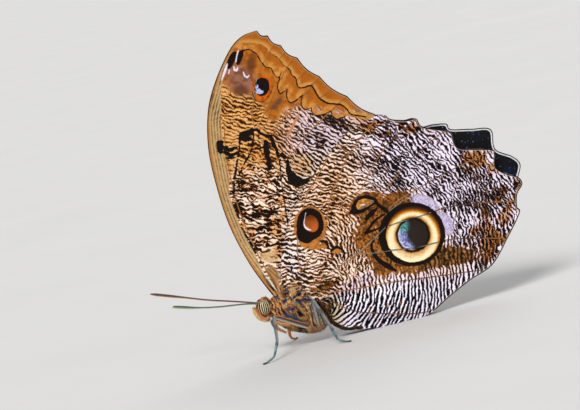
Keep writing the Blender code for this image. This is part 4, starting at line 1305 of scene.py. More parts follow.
def cut_sheet(ring, step):
    """Triangles that fill the ring: its corners come first, then a staggered grid of points."""
    low, high = ring.min(axis=0), ring.max(axis=0)
    rows = np.arange(low[1] + step / 2, high[1], step * 0.87)
    columns = np.arange(low[0], high[0], step)
    x, z = np.meshgrid(columns, rows)
    x[1::2] += step / 2
    spots = beside(x.ravel(), z.ravel())
    spots = spots[inside(spots, ring)]
    spots = spots[to_line(spots, np.vstack([ring, ring[:1]])) > step * 0.55]
    points = [Vector(p) for p in np.vstack([ring, spots])]
    outline = [(i, (i + 1) % len(ring)) for i in range(len(ring))]
    flat, _, triangles, _, _, _ = delaunay_2d_cdt(points, outline, [], 1, 1e-5)
    flat = np.array([(p.x, p.y) for p in flat])
    assert np.allclose(flat[:len(ring)], ring, atol=1e-4)
    return flat, np.array(triangles, int)


def on_side(spots, y):
    """Spots of the flat drawing as places in space, at the given distance from the middle plane."""
    return beside(spots[:, 0], y, spots[:, 1])


def vein_distance(spots, lines):
    return lowest([to_line(spots, smooth_path(line, 1.0)) for line in lines])


def add_wing(name, ring, margin, stand_off, pattern, veins, side, node):
    front, front_faces = cut_sheet(ring, GRID_STEP)
    back, back_faces = cut_sheet(ring, BACK_STEP)
    vein = vein_distance(front, veins)
    closed = np.vstack([ring, ring[:1]])
    rim_front, rim_back = to_line(front, closed), to_line(back, closed)
    ridge = VEIN_HEIGHT * (1 - ramp(vein, 0.0, VEIN_HALF_WIDTH)) * ramp(rim_front, 0.0, RIDGE_END)
    hollow = SAG * ramp(vein, 0.0, SAG_REACH) * ramp(rim_front, 0.0, SAG_END)
    hollow_back = SAG * ramp(vein_distance(back, veins), 0.0, SAG_REACH) * ramp(rim_back, 0.0, SAG_END)
    front_y = stand_off(front) + MEMBRANE / 2 + ridge - hollow
    back_y = stand_off(back) - MEMBRANE / 2 - hollow_back
    points = np.vstack([on_side(front, side * front_y), on_side(back, side * back_y)])
    shift = len(front)
    count = len(ring)
    around = np.arange(count)
    after = (around + 1) % count
    rim_faces = beside(after, around, around + shift, after + shift)
    faces = front_faces.tolist() + (back_faces[:, ::-1] + shift).tolist() + rim_faces.tolist()
    if side > 0:
        faces = [face[::-1] for face in faces]
    kinds = [0] * len(front_faces) + [1] * len(back_faces) + [1] * count
    materials = [underside, upperside]
    piece = add_piece(name, points, faces, materials, [node], face_material=kinds)
    fields = pattern(front)
    fields["vein"] = vein
    for key, values in fields.items():
        fill = np.full((len(back),) + values.shape[1:], 0.0 if values.ndim > 1 else FAR)
        store(piece.data, key, np.concatenate([values, fill]))
    store(piece.data, "rim", np.concatenate([rim_front, rim_back]))
    store(piece.data, "margin", to_line(np.vstack([front, back]), margin))
    span = ring.max(axis=0) - ring.min(axis=0)
    scale = MAP_SHARE / span.max()
    places = (np.vstack([front, back]) - ring.min(axis=0)) * scale + 0.01
    places[shift:, 0] += 0.5
    store_map(piece.data, "OFBake", places)
    print(name, "triangles", len(front_faces) + len(back_faces) + 2 * count)
    return piece


for side, word, outer in SIDES:
    add_wing(
        "forewing_" + word, fore_ring(), fore_margin(), fore_stand_off, fore_pattern, FORE_VEIN_LINES,
        side, "wing_fore_" + word,
    )
    add_wing(
        "hindwing_" + word, hind_ring(outer), hind_margin(outer), hind_stand_off, hind_pattern,
        HIND_VEIN_LINES, side, "wing_hind_" + word,
    )

# %% [markdown]
# ## The body's skin
# Head, thorax and abdomen are three solids, but on the insect one skin runs over all of them, drawn in
# at the neck and the waist. It is lofted: upright slices are taken along the body, the ovals of the three
# solids are blended in each slice, and the skin lies inside them by the depth of the coat.

# %% Body slices
THORAX_FRONT = (-23.8, 12.6)
THORAX_REAR = (-8.2, 6.8)
THORAX_HALF = (4.2, 6.0)
THORAX_DEEPEST = 0.56
ABDOMEN_FRONT = (-11.2, 7.8)
ABDOMEN_REAR = (14.7, 5.2)
ABDOMEN_HALF = (2.35, 2.7)
ABDOMEN_RINGS = 8
HEAD_FRONT = (-27.5, 12.4)
HEAD_REAR = (-23.3, 12.4)
HEAD_HALF = (2.2, 2.6)
COAT_DEPTH = 0.35
BLEND = 0.35
LEVEL_LEAN = 0.02
SLICE_MARGIN = 1.5
SLICE_COUNT = 360
SLICE_STEPS = 1500
NOWHERE = 99


def thorax_swell(t):
    share = t ** (math.log(0.5) / math.log(THORAX_DEEPEST))
    return np.clip(1 - np.abs(2 * share - 1) ** 2.8, 0, 1) ** 0.5


def abdomen_swell(t):
    furrow = 0.06 * np.abs(np.cos(math.pi * ABDOMEN_RINGS * t)) ** 6
    return np.clip((1 - t) / 0.3, 0, 1) ** 0.6 * (0.98 - furrow) * np.clip(t / 0.08, 0, 1) ** 0.5


def head_swell(t):
    return np.sqrt(np.clip(1 - (2 * t - 1) ** 2, 0, 1))


def upright_slices(front, rear, half, swell):
    """Top, bottom and half width of one leaning solid at even places along the body."""
    along = np.array(rear, float) - np.array(front)
    lean = -along[1] / np.linalg.norm(along)
    upright = along[0] / np.linalg.norm(along)
    places = np.linspace(front[0] - SLICE_MARGIN, rear[0] + SLICE_MARGIN, SLICE_COUNT)
    if abs(lean) <= LEVEL_LEAN:
        nearest = np.clip((places - front[0]) / along[0], 0, 1)
        tall = half[1] * swell(nearest) * ((places >= front[0]) & (places <= rear[0]))
        return places, front[1] + tall, front[1] - tall, tall * half[0] / half[1]
    t = np.linspace(0, 1, SLICE_STEPS)
    size = swell(t)
    reach = half[1] * size
    offset = (places[:, None] - front[0] - along[0] * t) / lean
    valid = np.abs(offset) <= reach
    height = front[1] + along[1] * t + offset * upright
    top = np.where(valid, height, -NOWHERE).max(axis=1)
    floor = np.where(valid, height, NOWHERE).min(axis=1)
    roundness = np.sqrt(np.clip(1 - (offset / np.maximum(reach, 1e-6)) ** 2, 0, 1))
    wide = np.where(valid, half[0] * size * roundness, 0)
    return places, top, floor, wide.max(axis=1)


BODIES = [
    upright_slices(THORAX_FRONT, THORAX_REAR, THORAX_HALF, thorax_swell),
    upright_slices(ABDOMEN_FRONT, ABDOMEN_REAR, ABDOMEN_HALF, abdomen_swell),
    upright_slices(HEAD_FRONT, HEAD_REAR, HEAD_HALF, head_swell),
]


def slices(x):
    """For each place along the body: the height of the middle, the half width and the half height."""
    tops, floors, widths = [], [], []
    for places, top, floor, wide in BODIES:
        girth = np.interp(x, places, wide, left=0, right=0)
        here = girth > 0.02
        tops.append(np.where(here, np.interp(x, places, top), -NOWHERE))
        floors.append(np.where(here, np.interp(x, places, floor), NOWHERE))
        widths.append(girth)
    top = BLEND * np.log(np.sum(np.exp(np.array(tops) / BLEND), axis=0))
    low = -BLEND * np.log(np.sum(np.exp(-np.array(floors) / BLEND), axis=0))
    wide = (np.sum(np.array(widths) ** 6, axis=0)) ** (1 / 6)
    return (top + low) / 2, wide, (top - low) / 2


SKIN_FRONT = HEAD_FRONT[0] + 0.04
SKIN_REAR = ABDOMEN_REAR[0] - 0.04
SKIN_SLICES = 260
SKIN_AROUND = 72


def skin_point(share, turn, lift=0.0):
    """A place on the skin: share runs from the face to the tail, turn goes round from the left side."""
    ease = np.clip(0.8 * share + 0.2 * (1 - np.cos(math.pi * share)) / 2, 0, 1)
    x = SKIN_FRONT + (SKIN_REAR - SKIN_FRONT) * ease
    middle, wide, high = slices(x)
    depth = COAT_DEPTH - lift
    wide = np.maximum(wide - depth, 0.02)
    high = np.maximum(high - depth, 0.02)
    inset = np.clip(depth - np.minimum(wide, high), 0, depth)
    x = x + inset * np.where(share < 0.5, 1, -1)
    return np.stack([x, -wide * np.cos(turn), middle + high * np.sin(turn)], axis=-1)


# %% [markdown]
# ## The coat's colours
# The thorax is clothed in long hair, tawny mixed with slate grey and dark brown, the abdomen in short
# paler hair with a dark line along its side. The same few lines colour the skin and every tuft, so
# no skin shows through as another colour.

# %% Coat colours
SLATE_PATCHES = [
    ((-19.1, 14.8), (0.70, 0.42), 0), ((-16.6, 13.8), (0.42, 0.66), 0), ((-19.9, 13.5), (0.55, 0.45), 0),
    ((-13.9, 12.5), (0.95, 0.42), -30), ((-16.2, 12.1), (0.26, 0.42), 0),
    ((-18.6, 10.9), (0.60, 0.50), -20), ((-22.2, 14.8), (0.30, 0.62), 10),
    ((-21.4, 12.7), (0.75, 0.30), -45), ((-15.5, 10.7), (0.3, 0.5), -60),
]
BLACK_PATCHES = [
    ((-18.0, 13.6), (0.34, 0.60), 0), ((-23.1, 13.0), (0.30, 0.70), 20), ((-17.0, 9.2), (1.05, 0.42), -50),
    ((-20.4, 14.8), (0.22, 0.55), 15), ((-15.1, 14.4), (0.3, 0.5), 0), ((-21.6, 13.6), (0.25, 0.5), 20),
]
SLATE_BANDS = [
    ([(-22.3, 11.4), (-20.8, 9.9), (-19.0, 8.6), (-17.7, 7.5), (-16.5, 6.3)], [0.4, 0.6, 0.66, 0.6, 0.4]),
    ([(-19.6, 10.1), (-18.1, 8.7), (-16.7, 7.1)], [0.2, 0.34, 0.3]),
]
SHADOW_BAND = ([(-23.2, 11.1), (-21.8, 9.5), (-19.2, 7.5), (-16.6, 5.9)], [0.7, 0.8, 0.7, 0.4])
ORANGE_BANDS = [
    ([(-20.6, 14.6), (-19.0, 12.2), (-17.5, 9.9), (-15.8, 7.4)], [0.3, 0.5, 0.5, 0.3]),
    ([(-21.6, 11.9), (-19.7, 10.2), (-17.9, 8.2), (-15.9, 6.1)], [0.3, 0.4, 0.4, 0.3]),
    ([(-15.5, 13.8), (-15.5, 11.3), (-15.3, 8.7), (-14.5, 5.7)], [0.4, 0.5, 0.4, 0.3]),
]
HIP_LINES = [
    ([(-13.4, 11.2), (-13.8, 8.6), (-13.9, 6.0), (-13.0, 4.1)], [0.22, 0.26, 0.26, 0.16]),
    ([(-12.5, 10.4), (-12.5, 8.3), (-12.3, 6.6)], [0.2, 0.34, 0.2]),
    ([(-11.5, 9.2), (-11.1, 6.0), (-10.3, 3.6)], [0.2, 0.26, 0.16]),
]
THIGH_SHADOW = ([(-12.5, 12.2), (-10.7, 10.1), (-8.8, 7.1), (-7.3, 4.0)], [0.6, 1.3, 1.4, 0.8])
WAIST = -10.0
NECK_ROW = 0.95


def coat_colour(points):
    """A colour for each place on the body, from where it lies."""
    x, z = points[:, 0], points[:, 2]
    side = beside(x, z)
    flat = beside(x, z + 0.7 * points[:, 1])
    rough = kinked(side, 0.16, 75)
    rear = ramp(x, -15.5, -13.0)
    loose = ramp(mottle(flat, 0.85, 76), 0.05, 0.35) * (1 - ramp(x, -15.0, -13.0))
    hips = strokes(rough, HIP_LINES)
    beside_hips = 1 - ramp(np.abs(hips - 0.34), 0.05, 0.2)
    belly = ramp(x, WAIST, WAIST + 2.5)
    stripe = 1 - ramp(np.abs(z - 6.4 + 0.1 * x), 0.3, 0.8)
    upper = ramp(z, 8.4 - 0.1 * x, 9.4 - 0.1 * x)
    neck = 1 - ramp(x, -24.2, -22.4)
    rows = np.sin(2 * math.pi * (x + 0.35 * z) / NECK_ROW)
    return painted(
        flat, (208, 156, 92),
        ((246, 206, 144), ramp(mottle(flat, 0.7, 71), -0.1, 0.7)),
        ((120, 84, 56), ramp(mottle(flat, 0.6, 72), 0.15, 0.6) * 0.8),
        ((36, 56, 92), loose * 0.85),
        ((30, 24, 26), ramp(mottle(flat, 0.5, 77), 0.4, 0.7) * 0.8),
        ((214, 158, 120), rear * 0.5),
        ((228, 140, 58), (1 - ramp(strokes(rough, ORANGE_BANDS), -0.1, 0.15)) * 0.8),
        ((78, 92, 122), 1 - ramp(strokes(rough, SLATE_BANDS), -0.05, 0.2)),
        ((34, 58, 104), ramp(clouds(rough, SLATE_PATCHES, 0.3), 0.2, 0.5)),
        ((20, 15, 18), ramp(clouds(rough, BLACK_PATCHES, 0.3), 0.2, 0.5)),
        ((52, 42, 34), (1 - ramp(hips, -0.05, 0.12)) * 0.9),
        ((246, 224, 184), beside_hips * rear * 0.8),
        ((22, 16, 14), 1 - ramp(stroke(side, *SHADOW_BAND), -0.1, 0.15)),
        ((198, 160, 112), belly * 0.9),
        ((104, 74, 48), belly * stripe * 0.8),
        ((70, 50, 34), belly * upper * 0.85),
        ((14, 11, 11), 1 - ramp(stroke(side, *THIGH_SHADOW), -0.1, 0.3)),
        ((34, 30, 38), neck * ramp(rows, 0.0, 0.5)),
        ((222, 148, 76), neck * ramp(-rows, 0.1, 0.6) * 0.8),
    )


def skin_material():
    material, tree, shader = toned_material("body_skin", 0.8, 0.35, 0.55, 0.95, specular=0.1)
    bumped(tree, shader, grain(tree, 0.12), 0.05)
    return material


def loft_faces(rings, around):
    """Quads between rings of corners, with a fan on the first corner and on the last."""
    faces = [(0, 1 + (j + 1) % around, 1 + j) for j in range(around)]
    for i in range(rings - 1):
        a, b = 1 + i * around, 1 + (i + 1) * around
        faces += [(a + j, a + (j + 1) % around, b + (j + 1) % around, b + j) for j in range(around)]
    last = 1 + rings * around
    base = last - around
    return faces + [(last, base + j, base + (j + 1) % around) for j in range(around)]


def add_skin():
    shares = np.linspace(0, 1, SKIN_SLICES + 2)
    turns = 2 * math.pi * np.arange(SKIN_AROUND) / SKIN_AROUND
    share, turn = np.meshgrid(shares[1:-1], turns, indexing="ij")
    body = skin_point(share.ravel(), turn.ravel())
    ends = skin_point(np.array((0.0, 1.0)), np.array((0.0, 0.0)))
    ends[:, 1] = 0
    points = np.vstack([ends[:1], body, ends[1:]])
    faces = loft_faces(SKIN_SLICES, SKIN_AROUND)
    solids = ["head", "thorax", "abdomen"]
    piece = add_piece("body_skin", points, faces, [skin_material()], solids)
    store(piece.data, "coat", coat_colour(points))
    places = beside(share.ravel(), turn.ravel() / (2 * math.pi))
    places = np.vstack([[(0, 0.5)], places, [(1, 0.5)]])
    store_map(piece.data, "OFBake", places * 0.98 + 0.01)
    return piece


skin = add_skin()
print("skin", [round(v / MM, 1) for v in skin.dimensions])

# %% [markdown]
# ## Tubes that taper
# Legs, feelers and palps are all tubes along a bent path whose girth changes from place to place. One
# helper makes them, and closes both ends with a low cone.

# %% Tubes
def tube_points(path, radii, sides):
    path = np.asarray(path, float)
    ahead = np.gradient(path, axis=0)
    ahead /= np.linalg.norm(ahead, axis=1)[:, None]
    side = np.array((0.0, 1.0, 0.0))
    points = [path[0] - ahead[0] * radii[0] * 0.5]
    for i in range(len(path)):
        side = side - ahead[i] * (side @ ahead[i])
        side = side / np.linalg.norm(side)
        other = np.cross(ahead[i], side)
        for j in range(sides):
            turn = 2 * math.pi * j / sides
            points.append(path[i] + radii[i] * (math.cos(turn) * side + math.sin(turn) * other))
    points.append(path[-1] + ahead[-1] * radii[-1] * 0.5)
    return np.array(points)


def add_tube(name, path, radii, sides, material, nodes, tint, floor=None):
    """A tapering tube. tint(along, out) gives its colours, out being the way from the middle line."""
    points = tube_points(path, radii, sides)
    if floor is not None:
        points[:, 2] = np.maximum(points[:, 2], floor)
    faces = [face[::-1] for face in loft_faces(len(path), sides)]
    piece = add_piece(name, points, faces, [material], nodes)
    along = np.concatenate([[0], np.repeat(np.linspace(0, 1, len(path)), sides), [1]])
    centres = np.vstack([path[:1], np.repeat(path, sides, axis=0), path[-1:]])
    out = points - centres
    out /= np.maximum(np.linalg.norm(out, axis=1, keepdims=True), 1e-9)
    store(piece.data, "coat", tint(along, out))
    return piece


def horn_material(name, roughness):
    """Hard skin in its stored colours, with fine mottling and pits."""
    material, tree, shader = toned_material(name, roughness, 0.3, 0.65, 1.35, sheen=0.1)
    bumped(tree, shader, grain(tree, 0.08), 0.03)
    return material


# %% [markdown]
# ## Legs
# A brush-footed butterfly walks on four legs. The front pair is short, hairy and held against the chest.
# Each walking leg has a stout thigh, a thinner shin and a foot of five small joints that ends in claws.
# The knees are bent round, not kinked, and the foot's joints show as small swellings.

# %% Legs
LEGS = {
    "leg_mid_left": [
        (-15.0, -2.2, 4.9), (-24.9, -9.0, 10.9), (-26.1, -13.4, 4.9), (-28.1, -15.0, 1.2),
        (-30.5, -16.2, 0.26),
    ],
    "leg_hind_left": [
        (-12.2, -2.2, 4.6), (-13.5, -8.0, 12.7), (-10.9, -11.8, 5.0), (-9.9, -12.8, 1.2),
        (-7.9, -13.8, 0.26),
    ],
    "leg_mid_right": [
        (-15.0, 2.2, 4.9), (-18.6, 8.2, 4.4), (-18.4, 11.2, 2.4), (-17.9, 12.6, 0.9), (-16.7, 14.0, 0.26),
    ],
    "leg_hind_right": [
        (-12.2, 2.2, 4.6), (-11.1, 7.6, 11.4), (-5.9, 10.4, 3.8), (-4.3, 11.4, 1.0), (-1.9, 12.6, 0.26),
    ],
}
LEG_RADII = [0.62, 0.50, 0.38, 0.27, 0.22]
LEG_STEP = 0.16
TUBE_SIDES = 12
KNEE_ROUND = 0.9
TOE_LENGTH = 1.2
FOOT_JOINT = 0.95
FORELEG_PATH = [
    (-18.9, 1.9, 6.4), (-21.8, 2.5, 7.2), (-23.6, 2.6, 8.2), (-23.4, 2.4, 6.6), (-21.6, 2.2, 5.0),
]
FORELEG_RADII = [0.50, 0.40, 0.32, 0.26, 0.18]


def leg_path(joints):
    """The leg's middle line in even small steps, the girth along it, and how far along it each place is."""
    joints = [np.array(p, float) for p in joints]
    toe = joints[-1] - joints[-2]
    toe[2] = 0
    joints.append(joints[-1] + toe / np.linalg.norm(toe) * TOE_LENGTH)
    corners, shares = [joints[0]], [0.0]
    for i in range(1, len(joints) - 1):
        before, after = joints[i] - joints[i - 1], joints[i + 1] - joints[i]
        reach = min(KNEE_ROUND, np.linalg.norm(after) * 0.45)
        enter = joints[i] - before / np.linalg.norm(before) * reach
        leave = joints[i] + after / np.linalg.norm(after) * reach
        for t in np.linspace(0, 1, 7):
            corners.append((1 - t) ** 2 * enter + 2 * t * (1 - t) * joints[i] + t**2 * leave)
            shares.append(i - 0.1 + 0.2 * t)
    corners.append(joints[-1])
    shares.append(len(joints) - 1.0)
    lengths = length_along(corners)
    at = np.linspace(0, lengths[-1], round(lengths[-1] / LEG_STEP))
    path = beside(*[np.interp(at, lengths, np.array(corners)[:, k]) for k in range(3)])
    share = np.interp(at, lengths, shares)
    girth = np.interp(share, range(6), LEG_RADII + [LEG_RADII[-1]])
    muscle = 1 + 0.16 * np.sin(math.pi * np.clip(share, 0, 1)) * (share < 1)
    foot = ramp(share, 1.9, 2.1)
    joint = 1 + 0.22 * foot * np.abs(np.cos(math.pi * (lengths[-1] - at) / FOOT_JOINT)) ** 8
    return path, girth * muscle * joint, share


def left_leg_tint(share, out):
    """Slate, with an orange line above and a cream one below on the thigh, and tan behind the shin."""
    up = out[:, 2]
    thigh = 1 - ramp(share, 0.9, 1.1)
    lower = 1 - thigh
    rings = ramp(np.sin(9.0 * share + 1.0), 0.2, 0.9) * lower
    return painted(
        out, (74, 80, 104),
        ((26, 22, 24), thigh * ramp(up, -0.25, 0.0)),
        ((216, 136, 66), thigh * ramp(up, 0.4, 0.7)),
        ((226, 206, 162), thigh * ramp(-up, 0.4, 0.75)),
        ((70, 106, 122), lower),
        ((180, 142, 96), lower * ramp(out[:, 0], 0.0, 0.5) * (share < 2.1)),
        ((116, 158, 144), ramp(share, 2.0, 2.3) * ramp(up, 0.0, 0.6)),
        ((40, 46, 50), rings * 0.6),
        ((44, 50, 46), ramp(share, 3.4, 4.4)),
    )


def right_leg_tint(share, out):
    return painted(
        out, (196, 140, 84), ((226, 128, 44), ramp(share, 0.9, 1.4)),
        ((236, 206, 156), ramp(out[:, 2], 0.3, 0.8) * 0.7),
        ((96, 66, 44), ramp(share, 3.2, 4.6)),
    )


leg_horn = horn_material("leg_horn", 0.5)
leg_paths = {}
for name, joints in LEGS.items():
    path, radii, share = leg_path(joints)
    leg_paths[name] = (path, radii, share)
    tint = left_leg_tint if name.endswith("left") else right_leg_tint

    def tint_along(along, out):
        return tint(np.interp(along, np.linspace(0, 1, len(share)), share), out)

    piece_name = name.replace("leg_", "limb_")
    add_tube(piece_name, path, radii, TUBE_SIDES, leg_horn, [name], tint_along, floor=0.0)
for side, word, _ in SIDES:
    path = smooth_path([(x, y * side, z) for x, y, z in FORELEG_PATH], 0.15)
    radii = np.interp(np.linspace(0, 4, len(path)), range(5), FORELEG_RADII)
    name = "leg_fore_" + word
    leg_paths[name] = (path, radii, np.linspace(0, 1, len(path)))
    add_tube("limb_fore_" + word, path, radii, TUBE_SIDES, leg_horn, [name], right_leg_tint)
print("legs", len(leg_paths))

# %% [markdown]
# ## Feelers
# A butterfly's feeler is a string of short rings, some forty of them, that thickens slowly into a slim
# club. The rings are made in the girth itself: it swells and narrows a little for each one.

# %% Feelers
FEELER_PATHS = {
    "left": [
        (-26.5, -0.7, 14.0), (-31.3, -3.5, 15.3), (-38.4, -7.5, 16.7), (-44.9, -12.5, 18.5),
        (-52.5, -19.0, 21.2),
    ],
    "right": [
        (-26.3, 0.7, 14.0), (-31.9, 5.0, 15.4), (-38.3, 10.0, 16.9), (-44.9, 14.5, 18.9),
        (-52.5, 19.0, 21.2),
    ],
}
FEELER_RADIUS = 0.24
CLUB_RADIUS = 0.42
CLUB_START = 0.76
FEELER_RINGS = 46
FEELER_UNDERSIDES = {"left": (190, 226, 170), "right": (206, 118, 44)}


def feeler_radii(share):
    swell = ramp(share, CLUB_START - 0.14, CLUB_START + 0.1)
    tip = np.clip((1 - share) / 0.05, 0.2, 1) ** 0.5
    ring = 1 - 0.14 * np.abs(np.cos(math.pi * FEELER_RINGS * share)) ** 6
    base = 1 + 0.5 * (1 - ramp(share, 0.0, 0.03))
    return (FEELER_RADIUS + (CLUB_RADIUS - FEELER_RADIUS) * swell) * tip * ring * base


feeler_horn = horn_material("feeler_horn", 0.35)
for word, knots in FEELER_PATHS.items():

    def feeler_tint(along, out):
        """Near black above, paler below, and pale at the very tip."""
        under = FEELER_UNDERSIDES[word]
        below = ramp(-out[:, 2], -0.1, 0.5) * 0.8
        return painted(out, (26, 20, 20), (under, below), (under, ramp(along, 0.985, 1.0)))

    path = smooth_path(knots, 0.07)
    radii = feeler_radii(np.linspace(0, 1, len(path)))
    node = "antenna_" + word
    add_tube("feeler_" + word, path, radii, TUBE_SIDES, feeler_horn, [node], feeler_tint)

# %% [markdown]
# ## Eyes and palps
# The eye is a tall oval of fine facets with five or six thin upright bands, pale on black, and a white
# line at its back. The two palps curve up before the face, thick with scales. The eyes stay pieces of
# their own in front of the skin.

# %% Eyes and palps
EYE_PLACE = (-25.8, 1.75, 12.9)
EYE_HALF_SIZE = (1.55, 1.2, 2.05)
EYE_BANDS = 5.5
FACET = 0.09
PALP_SIDES = 16
PALP_PATH = [
    (-24.9, 0.9, 10.6), (-25.3, 1.0, 9.4), (-26.8, 1.0, 10.0), (-27.8, 1.0, 11.6), (-28.2, 0.9, 13.1),
]
PALP_RADII = [0.42, 0.58, 0.66, 0.56, 0.22]


def eye_material():
    material, tree, shader = new_material("eye_glass", 0.3, specular=0.3)
    uneven = compute(tree, "MULTIPLY", compute(tree, "SUBTRACT", grain(tree, 0.35), 0.5), 2.2)
    band = compute(tree, "SINE", compute(tree, "ADD", stored(tree, "band"), uneven))
    colour = laid(
        tree, shade(14, 10, 8),
        (shade(222, 206, 160), soft_edge(tree, band, 0.25, 0.7)),
        (shade(30, 22, 16), stored_edge(tree, "rim", 0.72, 0.98)),
        (shade(226, 216, 196), stored_edge(tree, "back", 0.72, 0.82)),
    )
    facets = wire(tree, "ShaderNodeTexVoronoi", {"Vector": object_place(tree), "Scale": 1 / (FACET * MM)})
    tree.links.new(colour, shader.inputs["Base Color"])
    bumped(tree, shader, facets.outputs["Distance"], 0.02, 0.4)
    shader.inputs["Coat Weight"].default_value = 0.05
    return material


def add_eye(word, side, material):
    around, rings = 64, 40
    points = []
    for i in range(rings + 2):
        down = math.pi * i / (rings + 1)
        for j in range(around if 0 < i < rings + 1 else 1):
            turn = 2 * math.pi * j / around
            out = math.sin(down)
            points.append((out * math.cos(turn), out * math.sin(turn), math.cos(down)))
    ball = np.array(points)
    faces = [face[::-1] for face in loft_faces(rings, around)]
    points = np.array(EYE_PLACE) * (1, side, 1) + ball * EYE_HALF_SIZE
    piece = add_piece("eyeball_" + word, points, faces, [material], ["eye_" + word])
    across = ball[:, 0] / np.sqrt(np.clip(1 - ball[:, 2] ** 2, 0.05, 1))
    store(piece.data, "band", across * math.pi * EYE_BANDS)
    store(piece.data, "back", across * (side * ball[:, 1] > 0.1))
    store(piece.data, "rim", 1 - side * ball[:, 1])
    return piece


def palp_tint(_, out):
    """Straw in front, slate along the side and orange towards the face."""
    front = -out[:, 0] * 0.8 - out[:, 2] * 0.6
    return painted(
        out, (140, 120, 116), ((226, 186, 112), ramp(front, 0.1, 0.5)),
        ((222, 124, 48), ramp(-front, 0.0, 0.5)),
    )


eye_glass = eye_material()
palp_horn = horn_material("palp_horn", 0.7)
palp_paths = {}
for side, word, _ in SIDES:
    add_eye(word, side, eye_glass)
    path = smooth_path([(x, y * side, z) for x, y, z in PALP_PATH], 0.12)
    radii = np.interp(np.linspace(0, 4, len(path)), range(5), PALP_RADII)
    palp_paths[word] = (path, radii)
    name = "palp_skin_" + word
    add_tube(name, path, radii, PALP_SIDES, palp_horn, ["palp_" + word], palp_tint)
print("palps", len(palp_paths))

# %% [markdown]
# ## The coat
# Each tuft is a thin three-sided spike with one bend, rooted just under the skin. Tufts are strewn by
# area, so that they stand evenly, and laid along the way the hair lies there: back and down over the
# thorax, flat along the abdomen, upright on the crown and shortest on the face. They are solid meshes,
# as loose hairs would not survive outside this file.

# %% Coat helpers
SCATTER_ROWS = 320
TUFT_PATCH = 0.003
TUFT_CORNERS = 7
TUFT_WALLS = [(0, 1, 4, 3), (1, 2, 5, 4), (2, 0, 3, 5)]
TUFT_TIP = [(3, 4, 6), (4, 5, 6), (5, 3, 6)]
TUFT_TRIANGLES = 9
TUFT_MAP = [(0, 0), (0.5, 0), (1, 0), (0, 0.5), (0.5, 0.5), (1, 0.5), (0.5, 1)]


def unit(vectors):
    return vectors / np.maximum(np.linalg.norm(vectors, axis=-1, keepdims=True), 1e-9)


def scatter(count, density, seed):
    """Roots on the skin, strewn by area times density, with the skin's normal and place at each."""
    rng = np.random.default_rng(seed)
    shares = np.linspace(0.002, 0.998, SCATTER_ROWS)
    turns = 2 * math.pi * np.arange(SKIN_AROUND) / SKIN_AROUND
    share, turn = np.meshgrid(shares, turns, indexing="ij")
    share, turn = share.ravel(), turn.ravel()
    step_share, step_turn = shares[1] - shares[0], turns[1]
    here = skin_point(share, turn)
    along = skin_point(share + step_share * 0.5, turn) - skin_point(share - step_share * 0.5, turn)
    around = skin_point(share, turn + step_turn) - here
    weight = np.linalg.norm(np.cross(along, around), axis=1) * density(here)
    pick = rng.choice(len(share), count, p=weight / weight.sum())
    share = np.clip(share[pick] + rng.uniform(-0.5, 0.5, count) * step_share, 0.001, 0.999)
    turn = turn[pick] + rng.uniform(-0.5, 0.5, count) * step_turn
    root = skin_point(share, turn)
    along = skin_point(share + 0.001, turn) - skin_point(share - 0.001, turn)
    around = skin_point(share, turn + 0.01) - skin_point(share, turn - 0.01)
    normal = unit(np.cross(around, along))
    outward = root - beside(root[:, 0], 0 * turn, slices(root[:, 0])[0])
    normal *= np.sign(np.sum(normal * outward, axis=1))[:, None]
    return root, normal, beside(share, (turn / (2 * math.pi)) % 1)


def tuft_points(root, normal, lie, rise, length, width, rng):
    """The seven corners of every tuft: lie is the way the hair lies and rise how far it stands up."""
    lie = lie - normal * np.sum(lie * normal, axis=1)[:, None]
    rise = np.asarray(rise).reshape(-1, 1)
    ahead = unit(unit(lie) + normal * rise + rng.normal(0, 0.16, root.shape))
    bend = unit(unit(lie) + normal * rise * 0.25)
    side = unit(np.cross(ahead, normal + rng.normal(0, 0.2, root.shape)))
    other = np.cross(ahead, side)
    length = np.asarray(length).reshape(-1, 1)
    width = np.asarray(width).reshape(-1, 1)
    start = root - normal * 0.08
    middle = root + ahead * length * 0.5
    tip = middle + unit(ahead + bend) * length * 0.5
    corners = []
    for centre, size in ((start, width), (middle, width * 0.7)):
        for turn in (0, 2 * math.pi / 3, 4 * math.pi / 3):
            corners.append(centre + size * (math.cos(turn) * side + math.sin(turn) * other))
    return np.stack(corners + [tip], axis=1)


def add_tufts(name, corners, colours, places, material, slot="body_fur"):
    count = len(corners)
    base = (np.arange(count) * TUFT_CORNERS)[:, None, None]
    walls = (base + np.array(TUFT_WALLS)).reshape(-1, 4)
    tips = (base + np.array(TUFT_TIP)).reshape(-1, 3)
    faces = walls.tolist() + tips.tolist()
    piece = add_piece(name, corners.reshape(-1, 3), faces, [material])
    store(piece.data, "coat", np.repeat(colours, TUFT_CORNERS, axis=0))
    spots = np.clip(places[:, None, :], 0.01, 0.985) + TUFT_PATCH * np.array(TUFT_MAP)
    store_map(piece.data, "OFBake", spots.reshape(-1, 2))
    print(name, "tufts", count, "triangles", count * TUFT_TRIANGLES)
    return piece


def varied(colours, rng, amount=0.22):
    return np.clip(colours * (1 + rng.normal(0, amount, (len(colours), 1))), 0, 1)


# %% [markdown]
# ## The body's hair
# The tufts are drawn together at their tips into small locks, with painted shade that darkens each lock
# towards the next. Hair keeps clear of the eyes, and a collar of upright hair closes the neck.

# %% Coat of the body
EYE_CLEAR = 1.1
LOCK_SPACING = 0.55
COLLAR_ROW = 1.0
THORAX_TUFTS = 21000
ABDOMEN_TUFTS = 12000
HEAD_TUFTS = 9000
COLLAR_TUFTS = 5200


def off_the_eyes(points):
    """False where an eye sits, so that no hair grows through it."""
    free = np.ones(len(points), bool)
    for side in (-1, 1):
        away = (points - np.array(EYE_PLACE) * (1, side, 1)) / EYE_HALF_SIZE
        free &= np.linalg.norm(away, axis=1) > EYE_CLEAR
    return free


